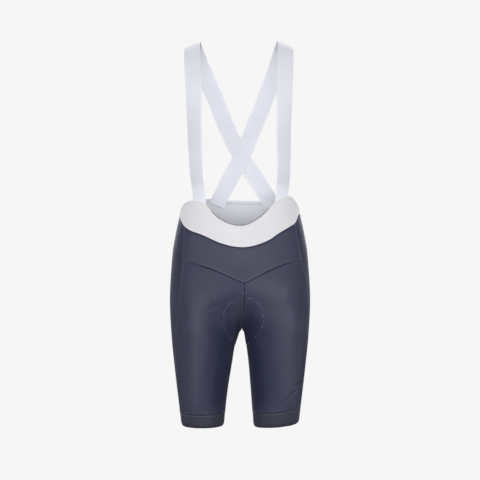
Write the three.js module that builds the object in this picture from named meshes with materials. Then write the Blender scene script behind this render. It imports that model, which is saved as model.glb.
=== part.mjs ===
// Cycling bib shorts, worn and filled out with nothing inside: a hollow shell of knitted panels, a white waistband
// that dips at the front, two flat elastic straps that cross at the back, hem grippers and a seat pad.
//
// Millimetres. -Y is the front, +X the wearer's left, +Z up. The origin lies midway between the two straps, on the
// shoulders that carry them. "Drop" is the distance below the origin. Each side of the body has columns that run
// "around" it from 0 at the centre front, or the inseam, to 1 at the centre back.

import * as THREE from "three";

// ---------------------------------------------------------------- driving dimensions

const PANEL_WALL = 1.5;
const BAND_WALL = 2;
const HEM_WALL = 1.9;
const STRAP_WALL = 1.6;
const STRAP_WIDTH = 40;
const BINDING_HEIGHT = 8;
const SEAM_GAP = 0.3;
const OVERLAP_GAP = 0.7; // clearance of a strap's end that lies on the inside of the waistband
const PAD_GAP = 3.8; // the pad's facets are coarser than the folds that it lies in
const PAD_THICKNESS = 6;
const PAD_EDGE = 2.5;

const CROTCH_DROP = 684;
const FORK_ROW = 600; // above it rows are level, below it they bend under the body
const CROTCH_ROW = 700; // the row that ends on the crotch, where the legs part
const LEVEL_ROW = 770; // from here down the rows round each leg are level again
const OVAL_POWER = 2.1; // 2 is an ellipse, more is squarer

// The body is two leg ovals that melt into each other above the crotch. inner and outer are the oval's reach from the
// middle, front and back its depths from its widest line, middle the place of that line, melt how far the ovals
// blend, lean the shift of the gap between them, turn how far the centre seams are twisted round the body, and
// seamLeft and seamRight the columns of the two side seams.
const FORM_COLUMNS = [
  "drop", "inner", "outer", "front", "back", "middle", "melt", "lean", "turn", "seamLeft", "seamRight",
];
const FORM = [
  [340, -60, 131, 84, 80, 0, 100, 0, 0, 0.34, 0.35],
  [375, -60, 136, 86, 82, 0, 100, 0, 0, 0.34, 0.35],
  [412, -58, 144, 90, 87, 0, 104, 0, 0, 0.34, 0.345],
  [446, -54, 152, 93, 93, 0, 108, 0, 1, 0.337, 0.34],
  [487, -48, 159.8, 96, 102, 0, 112, 1, 5, 0.334, 0.33],
  [540, -38, 164.8, 98, 113, 0, 112, 2, 9, 0.355, 0.325],
  [583, -27, 167.4, 99, 120, 0, 106, 3, 10, 0.385, 0.33],
  [614, -18, 168.2, 99, 121, 0, 90, 4, 10, 0.395, 0.34],
  [650, -6, 167.2, 97, 115, 0, 56, 4.5, 9, 0.41, 0.36],
  [684, 5, 165.2, 94, 105, 0, 20, 4.4, 5, 0.42, 0.375],
  [720, 13.7, 162.5, 89, 95, 1, 8, 1.7, 0, 0.43, 0.39],
  [765, 20.3, 157.8, 83, 86, 2, 3, 0.7, 0, 0.44, 0.405],
  [810, 25.9, 152.8, 77, 79, 3, 1, -1.2, 0, 0.448, 0.42],
  [865, 31.6, 146.2, 70, 71, 4, 1, -2.6, 0, 0.455, 0.435],
  [912, 35.3, 140.6, 65, 65, 5, 1, -3, 0, 0.46, 0.445],
];

// Drops of the waistband's two edges and of the yoke seam, from the centre front round each side to the centre back.
// Behind the side seam the yoke line only places a row of the back panels.
const EDGE_COLUMNS = ["around", "topLeft", "topRight", "bandLeft", "bandRight", "yokeLeft", "yokeRight"];
const EDGES = [
  [0, 434.5, 434.5, 487, 487, 572, 572],
  [0.1, 416, 420, 476.8, 476.8, 546.5, 547],
  [0.15, 400.4, 405, 467.8, 467.8, 537.2, 538.3],
  [0.2, 385, 388, 455.8, 459, 529.5, 531.5],
  [0.3, 368, 377, 438, 446.3, 517, 521],
  [0.35, 367, 377.5, 429.5, 437.4, 512.7, 520],
  [0.4, 376, 383, 413.8, 425, 510, 520],
  [0.5, 397, 397, 407, 412, 511, 520],
  [0.6, 393, 391, 414, 417, 518, 526],
  [0.7, 384, 374, 426, 428, 530, 535],
  [0.8, 376, 367.5, 437, 438, 543, 546],
  [0.9, 373, 370, 444, 444, 553, 555],
  [1, 372.5, 372.5, 446, 446, 558, 558],
];

// Drops of the leg openings and of the hem seams over them, and how far the outer side of each is raised.
const HEMS = {
  left: { opening: 917, openingLift: 8.5, seam: 881.5, seamLift: 16 },
  right: { opening: 914.5, openingLift: 0, seam: 883, seamLift: 0 },
};

// Route of the straps over the body, from the front end up over the shoulder to the back end. depth is the body's y on
// its middle line, height its z, bow how much it rounds away to each side, slope the fall of the shoulder, and left
// and right each strap's distance from the middle, which turns negative past the crossing.
const STRAP_COLUMNS = ["depth", "height", "bow", "slope", "left", "right"];
const STRAP_ROUTE = [
  [-110, -401, 0.0038, 0, 98.5, 95],
  [-115, -340, 0.0042, 0, 102, 100.5],
  [-129, -265, 0.0036, 0, 102.5, 104.5],
  [-131, -190, 0.0027, 0, 102.5, 106.5],
  [-115, -122, 0.0016, 0.06, 104, 108],
  [-82, -60, 0.0009, 0.2, 106.5, 111.5],
  [-38, -16, 0.0002, 0.36, 108.5, 114],
  [4, 0, 0, 0.4, 108, 113.5],
  [42, -20, -0.0002, 0.34, 100.5, 106.5],
  [70, -66, -0.0005, 0.2, 86, 88],
  [89, -130, -0.0008, 0.06, 60.5, 59],
  [98, -200, -0.0009, 0, 30.5, 29.5],
  [100, -265, -0.0011, 0, 4, -4],
  [98, -325, -0.0014, 0, -28, -43],
  [97, -368, -0.0018, 0, -50, -71],
  [97, -386, -0.002, 0, -57, -80],
];
const SHOULDER_X = 108; // the strap's middle on the shoulder, where height is measured
const CROSSING = { height: -265, reach: 110, lift: 1.05 }; // half the distance between the crossing straps' middles
const LANDING = { height: -315, reach: 45 }; // below this the straps come to lie on the waistband

// Outline of the seat pad along the centre line, from its front end under the crotch to its back end.
const PAD_COLUMNS = ["end", "row", "halfWidth"];
const PAD = [
  ["front", 603, 14],
  ["front", 611, 34],
  ["front", 625, 47],
  ["front", 645, 53],
  ["front", 668, 48],
  ["front", 688, 40],
  ["back", 700, 37],
  ["back", 686, 44],
  ["back", 665, 60],
  ["back", 640, 76],
  ["back", 612, 86],
  ["back", 584, 80],
  ["back", 566, 62],
  ["back", 556, 34],
];

const STEPS = {
  band: 3, yoke: 4, seat: 7, leg: 6, // segments down each region
  front: 12, back: 14, // segments round a half front and a half back
  strap: 4, strapWidth: 4, // segments between two stations of a strap, and across it
  pad: 20, padWidth: 8,
};

const BAND_REACH = 3; // the front waistband runs on past the side seam over this many columns of the back panel

const LOOKS = {
  navy: { color: 0x454963, roughness: 0.62 },
  hem: { color: 0x41435a, roughness: 0.7 },
  white: { color: 0xe6e4ea, roughness: 0.75 },
  strap: { color: 0xdbdee8, roughness: 0.7 },
  pad: { color: 0x2c3048, roughness: 0.9 },
};

// ---------------------------------------------------------------- smooth tables

/** Turns rows under named columns into a list of objects. */
function rowsOf(columns, rows) {
  return rows.map((row) => Object.fromEntries(columns.map((name, i) => [name, row[i]])));
}

/** A smooth curve through one column of a table: key is the column that places each row, or null for its number. */
function curveOf(rows, key, value, flatEnds = false) {
  const places = rows.map((row, i) => (key ? row[key] : i));
  const values = rows.map((row) => row[value]);
  const last = places.length - 1;
  const steepness = (i) => (values[i + 1] - values[i]) / (places[i + 1] - places[i]);
  const slopes = places.map((_, i) => {
    if (i === 0) return flatEnds ? 0 : steepness(0);
    if (i === last) return flatEnds ? 0 : steepness(last - 1);
    const before = places[i] - places[i - 1];
    const after = places[i + 1] - places[i];
    return (steepness(i - 1) * after + steepness(i) * before) / (before + after);
  });
  return (place) => {
    if (place <= places[0]) return values[0] + (key ? 0 : (place - places[0]) * slopes[0]);
    if (place >= places[last]) return values[last] + (key ? 0 : (place - places[last]) * slopes[last]);
    const i = places.findIndex((p) => p > place) - 1;
    const width = places[i + 1] - places[i];
    const t = (place - places[i]) / width;
    const rise = values[i + 1] - values[i];
    const startPull = width * slopes[i];
    const endPull = width * slopes[i + 1];
    return values[i] + t * startPull
      + t * t * (3 * rise - 2 * startPull - endPull)
      + t * t * t * (startPull + endPull - 2 * rise);
  };
}

const form = {};
for (const name of FORM_COLUMNS.slice(1)) form[name] = curveOf(rowsOf(FORM_COLUMNS, FORM), "drop", name);

const edge = {};
for (const name of EDGE_COLUMNS.slice(1)) {
  edge[name] = curveOf(rowsOf(EDGE_COLUMNS, EDGES), "around", name, !name.startsWith("yoke"));
}

const route = {};
for (const name of STRAP_COLUMNS) route[name] = curveOf(rowsOf(STRAP_COLUMNS, STRAP_ROUTE), null, name);

const smoothstep = (t) => THREE.MathUtils.smoothstep(t, 0, 1);
const lerp = THREE.MathUtils.lerp;

// ---------------------------------------------------------------- the body form

/** Signed depth of a point in one leg's oval: negative inside, and close to the distance near its edge. */
function ovalField(x, y, drop, side) {
  const inner = form.inner(drop) + side * form.lean(drop);
  const outer = form.outer(drop);
  const dx = x - (side * (inner + outer)) / 2;
  const dy = y - form.middle(drop);
  const depth = dy < 0 ? form.front(drop) : form.back(drop);
  const reach = (outer - inner) / 2;
  const size = (Math.abs(dx / reach) ** OVAL_POWER + Math.abs(dy / depth) ** OVAL_POWER) ** (1 / OVAL_POWER);
  const distance = Math.hypot(dx, dy);
  return size > 0 ? distance - distance / size : -Math.min(reach, depth);
}

/** Signed depth of a point in the whole body, the two ovals melted together. */
function bodyField(point) {
  const drop = -point.z;
  const left = ovalField(point.x, point.y, drop, 1);
  const right = ovalField(point.x, point.y, drop, -1);
  const melt = Math.max(form.melt(drop), 0.5);
  const blend = Math.max(melt - Math.abs(left - right), 0) / melt;
  return Math.min(left, right) - (blend * blend * melt) / 4;
}

/** The outward normal of the body near a point. */
function bodyNormal(point) {
  const step = 0.5;
  const slope = (axis) => {
    const ahead = point.clone();
    const behind = point.clone();
    ahead[axis] += step;
    behind[axis] -= step;
    return bodyField(ahead) - bodyField(behind);
  };
  return new THREE.Vector3(slope("x"), slope("y"), slope("z")).normalize();
}

/** Where a ray from inside the body leaves it, or its end if it never does. */
function leave(origin, direction, reach = 260) {
  let inside = 0;
  let outside = reach;
  for (let step = 0; step < 30; step += 1) {
    const middle = (inside + outside) / 2;
    if (bodyField(origin.clone().addScaledVector(direction, middle)) > 0) outside = middle;
    else inside = middle;
  }
  return origin.clone().addScaledVector(direction, (inside + outside) / 2);
}

/** The point of a row on the body's centre line, at its front or its back; the two meet at the crotch. */
function centrePoint(row, atBack) {
  const bend = THREE.MathUtils.clamp((row - FORK_ROW) / (CROTCH_ROW - FORK_ROW), 0, 1) * (Math.PI / 2);
  const twist = Math.cos(bend);
  const turn = atBack ? -0.55 * form.turn(row) : form.turn(row);
  const origin = new THREE.Vector3(
    lerp(form.lean(CROTCH_DROP), turn, twist),
    0,
    -Math.min(row, FORK_ROW),
  );
  const direction = new THREE.Vector3(0, (atBack ? 1 : -1) * Math.cos(bend), -Math.sin(bend));
  return leave(origin, direction);
}

/** The point of the body where a column of one side (1 left, -1 right) crosses a row. */
function formPoint(side, row, around) {
  const inner = form.inner(row) + side * form.lean(row);
  const axis = new THREE.Vector3((side * (inner + form.outer(row))) / 2, form.middle(row), -row);
  const angleOf = (v) => Math.atan2(-v.y, -side * v.x);
  const climbOf = (v) => v.z / Math.hypot(v.x, v.y);
  let start = 0;
  let end = 2 * Math.PI;
  let climb;
  let seamX = form.lean(CROTCH_DROP);
  if (row < CROTCH_ROW) {
    const front = centrePoint(row, false);
    const back = centrePoint(row, true);
    seamX = around < 0.5 ? front.x : back.x;
    start = angleOf(front.clone().sub(axis));
    end += angleOf(back.clone().sub(axis));
    climb = climbOf((around < 0.5 ? front : back).sub(axis));
  } else {
    const lift = (CROTCH_ROW - CROTCH_DROP) * (1 - smoothstep((row - CROTCH_ROW) / (LEVEL_ROW - CROTCH_ROW)));
    climb = lift / Math.abs(axis.x - seamX);
  }
  const angle = lerp(start, end, around);
  const fade = Math.cos(Math.PI * Math.min(around, 1 - around)) ** 2;
  const direction = new THREE.Vector3(-side * Math.cos(angle), -Math.sin(angle), climb * fade).normalize();
  const towardSeam = -side * direction.x;
  const reach = towardSeam > 1e-6 ? Math.min(Math.abs(axis.x - seamX) / towardSeam, 260) : 260;
  return leave(axis, direction, reach);
}

/** Steps over the body's surface from a point of it, and returns the point reached at that distance. */
function walk(start, heading, distance) {
  const steps = Math.max(1, Math.ceil(Math.abs(distance) / 3));
  const point = start.clone();
  const direction = heading.clone().multiplyScalar(Math.sign(distance));
  for (let step = 0; step < steps; step += 1) {
    point.addScaledVector(direction, Math.abs(distance) / steps);
    for (let mend = 0; mend < 3; mend += 1) point.addScaledVector(bodyNormal(point), -bodyField(point));
    const normal = bodyNormal(point);
    direction.addScaledVector(normal, -direction.dot(normal)).normalize();
  }
  return point;
}

// ---------------------------------------------------------------- cloth walls

/** Moves the edges of a grid of surface points inwards by half a seam gap, so that its neighbours stay clear. */
function trimmed(points, normals, closed) {
  const columns = points.length;
  const rows = points[0].length;
  const shift = (i, j, tangentFrom, tangentTo, inside) => {
    const tangent = tangentTo.clone().sub(tangentFrom);
    const inward = tangent.cross(normals[i][j]).normalize();
    if (inward.dot(inside.clone().sub(points[i][j])) < 0) inward.negate();
    return inward.multiplyScalar(SEAM_GAP / 2);
  };
  return points.map((column, i) => column.map((point, j) => {
    const moved = point.clone();
    const sideways = (k) => points[closed ? (k + columns) % columns : THREE.MathUtils.clamp(k, 0, columns - 1)][j];
    const along = (k) => column[THREE.MathUtils.clamp(k, 0, rows - 1)];
    if (j === 0) moved.add(shift(i, j, sideways(i - 1), sideways(i + 1), along(1)));
    if (j === rows - 1) moved.add(shift(i, j, sideways(i - 1), sideways(i + 1), along(rows - 2)));
    if (!closed && i === 0) moved.add(shift(i, j, along(j - 1), along(j + 1), sideways(1)));
    if (!closed && i === columns - 1) moved.add(shift(i, j, along(j - 1), along(j + 1), sideways(columns - 2)));
    return moved;
  }));
}

/** A closed solid between two grids of points; a closed one joins its last column to its first. */
function solidBetween(outer, inner, closed) {
  const columns = outer.length;
  const rows = outer[0].length;
  const positions = [outer, inner].flatMap((grid) => grid.flatMap((column) => column.flatMap((p) => p.toArray())));
  const at = (face, i, j) => face * columns * rows + (i % columns) * rows + j;
  const index = [];
  const quad = (a, b, c, d) => index.push(a, b, c, a, c, d);
  const spans = closed ? columns : columns - 1;
  for (let i = 0; i < spans; i += 1) {
    for (let j = 0; j < rows - 1; j += 1) {
      quad(at(0, i, j), at(0, i, j + 1), at(0, i + 1, j + 1), at(0, i + 1, j));
      quad(at(1, i, j), at(1, i + 1, j), at(1, i + 1, j + 1), at(1, i, j + 1));
    }
    quad(at(0, i, 0), at(0, i + 1, 0), at(1, i + 1, 0), at(1, i, 0));
    quad(at(0, i, rows - 1), at(1, i, rows - 1), at(1, i + 1, rows - 1), at(0, i + 1, rows - 1));
  }
  for (let j = 0; !closed && j < rows - 1; j += 1) {
    const end = columns - 1;
    quad(at(0, 0, j), at(1, 0, j), at(1, 0, j + 1), at(0, 0, j + 1));
    quad(at(0, end, j), at(0, end, j + 1), at(1, end, j + 1), at(1, end, j));
  }
  const geometry = new THREE.BufferGeometry();
  geometry.setAttribute("position", new THREE.Float32BufferAttribute(positions, 3));
  geometry.setIndex(volumeOf(positions, index) < 0 ? index.reverse() : index);
  geometry.computeVertexNormals();
  return geometry;
}

/** Signed volume within a closed list of triangles: negative when they face inwards. */
function volumeOf(positions, index) {
  const corner = (k) => new THREE.Vector3().fromArray(positions, 3 * index[k]);
  let volume = 0;
  for (let k = 0; k < index.length; k += 3) volume += corner(k).dot(corner(k + 1).cross(corner(k + 2))) / 6;
  return volume;
}

/** A wall of cloth under a grid of body points, set in from them, with its edges trimmed for the seams. */
function clothWall(points, wall, setIn = 0, closed = false) {
  const normals = points.map((column) => column.map(bodyNormal));
  const edged = trimmed(points, normals, closed);
  const sunk = (depth) => edged.map((column, i) => column.map((point, j) => (
    point.clone().addScaledVector(normals[i][j], -depth))));
  return solidBetween(sunk(setIn), sunk(setIn + wall), closed);
}

const root = new THREE.Group();

function addPiece(name, geometry, look) {
  const mesh = new THREE.Mesh(geometry, new THREE.MeshStandardMaterial({ metalness: 0, ...look }));
  mesh.name = name;
  root.add(mesh);
}

// ---------------------------------------------------------------- rows and columns of the panels

const nameOf = (side) => (side > 0 ? "Left" : "Right");

/** Drops of the lines that part one side into waistband, yoke, seat, leg and hem, at a column. */
function levelsAt(side, around) {
  const hem = side > 0 ? HEMS.left : HEMS.right;
  const outward = Math.sin(Math.PI * around);
  return {
    top: edge["top" + nameOf(side)](around),
    band: edge["band" + nameOf(side)](around),
    yoke: edge["yoke" + nameOf(side)](around),
    crotch: CROTCH_ROW,
    hemSeam: hem.seam - hem.seamLift * outward ** 4,
    bottom: hem.opening - hem.openingLift * outward ** 2,
  };
}

/** The levels of one region's rows at a column, from its upper line to its lower one. */
function spread(from, to, steps) {
  return Array.from({ length: steps + 1 }, (_, k) => lerp(from, to, k / steps));
}

/** The row levels of a panel that runs down through several regions: each is [upper line, lower line, steps]. */
function rowLevels(side, around, regions) {
  const levels = levelsAt(side, around);
  return regions.flatMap(([from, to, steps], k) => spread(levels[from], levels[to], steps).slice(k ? 1 : 0));
}

/** The column of a side seam at a row. */
const sideSeam = (side, row) => form["seam" + nameOf(side)](row);

/** One column of body points: share 0 is the centre and 1 the side seam, in front or behind. */
function panelColumn(side, share, atBack, regions) {
  const centre = atBack ? 1 : 0;
  const count = rowLevels(side, centre, regions).length;
  return Array.from({ length: count }, (_, j) => {
    let around = centre;
    let row = rowLevels(side, around, regions)[j];
    for (let settle = 0; settle < 6; settle += 1) {
      around = lerp(centre, sideSeam(side, row), share);
      row = rowLevels(side, around, regions)[j];
    }
    return formPoint(side, row, around);
  });
}

const YOKE_ROWS = [["band", "yoke", STEPS.yoke]];
const LEG_ROWS = [["yoke", "crotch", STEPS.seat], ["crotch", "hemSeam", STEPS.leg]];
const BACK_ROWS = [...YOKE_ROWS, ...LEG_ROWS];

const shares = (steps) => Array.from({ length: steps + 1 }, (_, i) => i / steps);

/** The columns of one side's panel, from the centre to the side seam. */
function halfPanel(side, atBack, regions) {
  const steps = atBack ? STEPS.back : STEPS.front;
  return shares(steps).map((share) => panelColumn(side, share, atBack, regions));
}

/** The columns of a piece that spans both sides: its left half turned round and joined to its right half. */
function bothSides(halfOf) {
  const left = halfOf(1);
  const right = halfOf(-1);
  return [...left.reverse(), ...right.slice(1)];
}

/** Where the columns of a panel meet one of the lines: share 0 is the centre and 1 the side seam. */
function aroundAt(side, share, atBack, line) {
  const centre = atBack ? 1 : 0;
  let around = centre;
  for (let settle = 0; settle < 6; settle += 1) {
    around = lerp(centre, sideSeam(side, levelsAt(side, around)[line]), share);
  }
  return around;
}

/** The columns of a line all round one side: the front panel's from the centre, then the back panel's. */
function roundOf(side, line) {
  const front = shares(STEPS.front).map((share) => aroundAt(side, share, false, line));
  const back = shares(STEPS.back).map((share) => aroundAt(side, share, true, line));
  return [...front, ...back.reverse().slice(1)];
}

// ---------------------------------------------------------------- the pieces

/** A band's points on both sides, between two lines, over some of the columns of the waistband's lower edge. */
function bandGrid(columnsOf, upper, lower, steps) {
  return bothSides((side) => columnsOf(roundOf(side, "band")).map((around) => {
    const levels = levelsAt(side, around);
    const binding = levels.top + Math.min(BINDING_HEIGHT, (levels.band - levels.top) / 2);
    const lines = { ...levels, binding };
    return spread(lines[upper], lines[lower], steps).map((row) => formPoint(side, row, around));
  }));
}

/** The waistband is a front and a back length, joined behind the leg panels' side seams. */
function makeWaistband() {
  const joint = STEPS.front + BAND_REACH;
  const frontColumns = (columns) => columns.slice(0, joint + 1);
  const backColumns = (columns) => columns.slice(joint).reverse();
  addPiece("waistband_front", clothWall(bandGrid(frontColumns, "top", "band", STEPS.band), BAND_WALL), LOOKS.white);
  addPiece("waistband_back", clothWall(bandGrid(backColumns, "binding", "band", STEPS.band), BAND_WALL), LOOKS.white);
  addPiece("back_binding", clothWall(bandGrid(backColumns, "top", "binding", 1), BAND_WALL), LOOKS.white);
}

function makeLegPanels() {
  addPiece("yoke_front", clothWall(bothSides((side) => halfPanel(side, false, YOKE_ROWS)), PANEL_WALL), LOOKS.navy);
  for (const side of [1, -1]) {
    const name = nameOf(side).toLowerCase();
    addPiece("leg_front_" + name, clothWall(halfPanel(side, false, LEG_ROWS), PANEL_WALL), LOOKS.navy);
    addPiece("leg_back_" + name, clothWall(halfPanel(side, true, BACK_ROWS), PANEL_WALL), LOOKS.navy);
  }
}

/** The hems' columns fall on the leg panels' own, so that the seam between them stays even. */
function makeHems() {
  for (const side of [1, -1]) {
    const ring = roundOf(side, "hemSeam").slice(0, -1).map((around) => (
      rowLevels(side, around, [["hemSeam", "bottom", 1]]).map((row) => formPoint(side, row, around))));
    addPiece("hem_" + nameOf(side).toLowerCase(), clothWall(ring, HEM_WALL, 0, true), LOOKS.hem);
  }
}

/** The point over the body at a distance from its middle and a place along the straps' route. */
function overBody(x, place) {
  return new THREE.Vector3(
    x,
    route.depth(place) + route.bow(place) * x * x,
    route.height(place) - route.slope(place) * (Math.abs(x) - SHOULDER_X),
  );
}

/** A point of a strap's middle layer: share runs from -0.5 to 0.5 across its width. */
function strapPoint(side, place, share) {
  const away = route[nameOf(side).toLowerCase()];
  const step = 0.01;
  const length = overBody(0, place + step).distanceTo(overBody(0, place - step));
  const tilt = Math.hypot(1, 2 * route.bow(place) * away(place), route.slope(place));
  const drift = side * tilt * (away(place + step) - away(place - step));
  const scale = (share * STRAP_WIDTH) / Math.hypot(length, drift);
  const along = (-drift * scale * 2 * step) / length;
  const point = overBody(side * away(place) + (length * scale) / tilt, place + along);

  const nearCrossing = place > STRAP_ROUTE.length / 2
    ? Math.exp(-(((point.z - CROSSING.height) / CROSSING.reach) ** 4)) : 0;
  point.y += side * -CROSSING.lift * nearCrossing;

  const landing = smoothstep((LANDING.height - point.z) / LANDING.reach);
  if (landing > 0) {
    const outward = new THREE.Vector3(0, Math.sign(point.y), 0);
    const seat = leave(new THREE.Vector3(point.x, 0, point.z), outward);
    seat.addScaledVector(bodyNormal(seat), -(BAND_WALL + OVERLAP_GAP + STRAP_WALL / 2));
    point.lerp(seat, landing);
  }
  return point;
}

/** Each strap is one length of elastic from the front band over the shoulder to the far side of the back band. */
function makeStraps() {
  const places = (STRAP_ROUTE.length - 1) * STEPS.strap;
  for (const side of [1, -1]) {
    const middle = shares(places).map((p) => shares(STEPS.strapWidth).map((s) => (
      strapPoint(side, p * (STRAP_ROUTE.length - 1), s - 0.5))));
    const normals = middle.map((row, i) => row.map((_, j) => {
      const ahead = middle[Math.min(i + 1, places)][j].clone().sub(middle[Math.max(i - 1, 0)][j]);
      const across = row[Math.min(j + 1, STEPS.strapWidth)].clone().sub(row[Math.max(j - 1, 0)]);
      return ahead.cross(across).normalize();
    }));
    const face = (offset) => middle.map((row, i) => row.map((point, j) => (
      point.clone().addScaledVector(normals[i][j], offset))));
    const name = "strap_" + nameOf(side).toLowerCase();
    addPiece(name, solidBetween(face(STRAP_WALL / 2), face(-STRAP_WALL / 2), false), LOOKS.strap);
  }
}

/** The seat pad lies inside the crotch, along the centre line and out over each side of it. */
function makeSeatPad() {
  const rows = rowsOf(PAD_COLUMNS, PAD);
  const halfWidth = curveOf(rows, null, "halfWidth");
  const under = curveOf(rows.map((row) => ({
    bend: row.end === "front" ? row.row - CROTCH_ROW : CROTCH_ROW - row.row,
  })), null, "bend");
  const outer = [];
  const inner = [];
  for (const share of shares(STEPS.pad)) {
    const place = share * (PAD.length - 1);
    const bend = under(place);
    const middle = centrePoint(CROTCH_ROW - Math.abs(bend), bend > 0);
    const columns = shares(STEPS.padWidth).map((s) => 2 * s - 1);
    const points = columns.map((s) => walk(middle, new THREE.Vector3(1, 0, 0), s * halfWidth(place)));
    const atEnd = share === 0 || share === 1;
    const sunk = (depthAt) => points.map((point, k) => (
      point.clone().addScaledVector(bodyNormal(point), -depthAt(columns[k]))));
    const seat = PANEL_WALL + PAD_GAP;
    const thickness = (s) => (atEnd ? PAD_EDGE : lerp(PAD_THICKNESS, PAD_EDGE, s ** 4));
    outer.push(sunk(() => seat));
    inner.push(sunk((s) => seat + thickness(s)));
  }
  addPiece("seat_pad", solidBetween(outer, inner, false), LOOKS.pad);
}

makeWaistband();
makeLegPanels();
makeHems();
makeStraps();
makeSeatPad();

export default root;
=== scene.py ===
"""Cycling bib shorts in worn form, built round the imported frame.

Knitted leg panels, a dipped waistband, crossed elastic straps, hem grippers and a seat pad. Every
shape is worked out in millimetres, with -Y to the front, +X to the wearer's left and +Z up from
between the straps on the shoulders, and is turned into metres when its mesh is made. A "drop" or
"row" is a distance below that point. "Around" runs from 0 at the centre front, or at the inseam,
round the outer side to 1 at the centre back, or at the inseam again.
"""

from __future__ import annotations

import logging
import math
from dataclasses import dataclass, field, replace
from enum import Enum
from typing import Any, Sequence

import bpy
import numpy as np
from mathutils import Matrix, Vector

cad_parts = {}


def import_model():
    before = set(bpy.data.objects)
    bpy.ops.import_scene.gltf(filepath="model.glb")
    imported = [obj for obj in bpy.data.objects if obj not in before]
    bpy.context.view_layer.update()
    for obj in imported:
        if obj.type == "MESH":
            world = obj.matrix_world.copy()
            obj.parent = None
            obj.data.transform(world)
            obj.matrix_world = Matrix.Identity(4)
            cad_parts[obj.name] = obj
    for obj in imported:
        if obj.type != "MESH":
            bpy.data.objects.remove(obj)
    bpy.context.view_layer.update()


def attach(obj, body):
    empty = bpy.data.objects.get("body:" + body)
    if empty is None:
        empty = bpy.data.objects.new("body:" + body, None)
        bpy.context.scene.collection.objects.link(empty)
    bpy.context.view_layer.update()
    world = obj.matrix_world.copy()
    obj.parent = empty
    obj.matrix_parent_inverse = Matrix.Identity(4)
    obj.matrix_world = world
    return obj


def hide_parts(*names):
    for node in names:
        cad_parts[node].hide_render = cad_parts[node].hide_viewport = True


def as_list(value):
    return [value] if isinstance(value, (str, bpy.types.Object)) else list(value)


LOG = logging.getLogger("bib_shorts")
BODY = "root"
MM = 0.001
CUT_MAP = "cut"
TONE = "tone"
UP = np.array([0.0, 0.0, 1.0])
TINY = 1e-9
RAY_HALVINGS = 28
STROKE_POINTS = 61
# The steps next to an edge of cloth, as shares of a full step, and its rounding, as a share of the wall.
EDGE_STEPS = (0.1, 0.14, 0.2, 0.3, 0.45, 0.65, 0.85)
EDGE_ROUND = 0.46
# The widest angle between faces, in degrees, over which the cloth's shading runs on.
SMOOTH_TO = 50.0

Colour = tuple[float, float, float]

BODY_COLUMNS = (
    "drop", "inner", "outer", "front", "back", "middle", "melt", "lean", "turn", "seam_left", "seam_right",
)
BODY_ROWS = (
    (340, -60, 131, 84, 80, 0, 100, 0, 0, 0.34, 0.35),
    (375, -60, 136, 86, 82, 0, 100, 0, 0, 0.34, 0.35),
    (412, -58, 144, 90, 87, 0, 104, 0, 0, 0.34, 0.345),
    (446, -54, 152, 93, 93, 0, 108, 0, 1, 0.337, 0.34),
    (487, -48, 159.8, 96, 102, 0, 112, 1, 5, 0.334, 0.33),
    (540, -38, 164.8, 98, 113, 0, 112, 2, 9, 0.355, 0.325),
    (583, -27, 167.4, 99, 120, 0, 106, 3, 10, 0.385, 0.33),
    (614, -18, 168.2, 99, 121, 0, 90, 4, 10, 0.395, 0.34),
    (650, -6, 167.2, 97, 115, 0, 56, 4.5, 9, 0.41, 0.36),
    (684, 5, 165.2, 94, 105, 0, 20, 4.4, 5, 0.42, 0.375),
    (720, 13.7, 162.5, 89, 95, 1, 8, 1.7, 0, 0.43, 0.39),
    (765, 20.3, 157.8, 83, 86, 2, 3, 0.7, 0, 0.44, 0.405),
    (810, 25.9, 152.8, 77, 79, 3, 1, -1.2, 0, 0.448, 0.42),
    (865, 31.6, 146.2, 70, 71, 4, 1, -2.6, 0, 0.455, 0.435),
    (912, 35.3, 140.6, 65, 65, 5, 1, -3, 0, 0.46, 0.445),
)
EDGE_COLUMNS = ("around", "top_left", "top_right", "band_left", "band_right", "yoke_left", "yoke_right")
EDGE_ROWS = (
    (0, 434.5, 434.5, 487, 487, 572, 572),
    (0.1, 416, 420, 476.8, 476.8, 546.5, 547),
    (0.15, 400.4, 405, 467.8, 467.8, 537.2, 538.3),
    (0.2, 385, 388, 455.8, 459, 529.5, 531.5),
    (0.3, 368, 377, 438, 446.3, 517, 521),
    (0.35, 367, 377.5, 429.5, 437.4, 512.7, 520),
    (0.4, 376, 383, 413.8, 425, 510, 520),
    (0.5, 397, 397, 407, 412, 511, 520),
    (0.6, 393, 391, 414, 417, 518, 526),
    (0.7, 384, 374, 426, 428, 530, 535),
    (0.8, 376, 367.5, 437, 438, 543, 546),
    (0.9, 373, 370, 444, 444, 553, 555),
    (1, 372.5, 372.5, 446, 446, 558, 558),
)
STRAP_COLUMNS = ("depth", "height", "bow", "slope", "left", "right")
STRAP_ROWS = (
    (-110, -401, 0.0038, 0, 98.5, 95),
    (-115, -340, 0.0042, 0, 102, 100.5),
    (-129, -265, 0.0036, 0, 102.5, 104.5),
    (-131, -190, 0.0027, 0, 102.5, 106.5),
    (-115, -122, 0.0016, 0.06, 104, 108),
    (-82, -60, 0.0009, 0.2, 106.5, 111.5),
    (-38, -16, 0.0002, 0.36, 108.5, 114),
    (4, 0, 0, 0.4, 108, 113.5),
    (42, -20, -0.0002, 0.34, 100.5, 106.5),
    (70, -66, -0.0005, 0.2, 86, 88),
    (89, -130, -0.0008, 0.06, 60.5, 59),
    (98, -200, -0.0009, 0, 30.5, 29.5),
    (100, -265, -0.0011, 0, 4, -4),
    (98, -325, -0.0014, 0, -28, -43),
    (97, -368, -0.0018, 0, -50, -71),
    (97, -386, -0.002, 0, -57, -80),
)
# How far before (-) or behind the crotch each section of the pad lies, and half its width there.
PAD_BENDS = (-97, -89, -75, -55, -32, -12, 0, 14, 35, 60, 88, 116, 134, 144)
PAD_HALF_WIDTHS = (14, 34, 47, 53, 48, 40, 37, 44, 60, 76, 86, 80, 62, 34)
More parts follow.
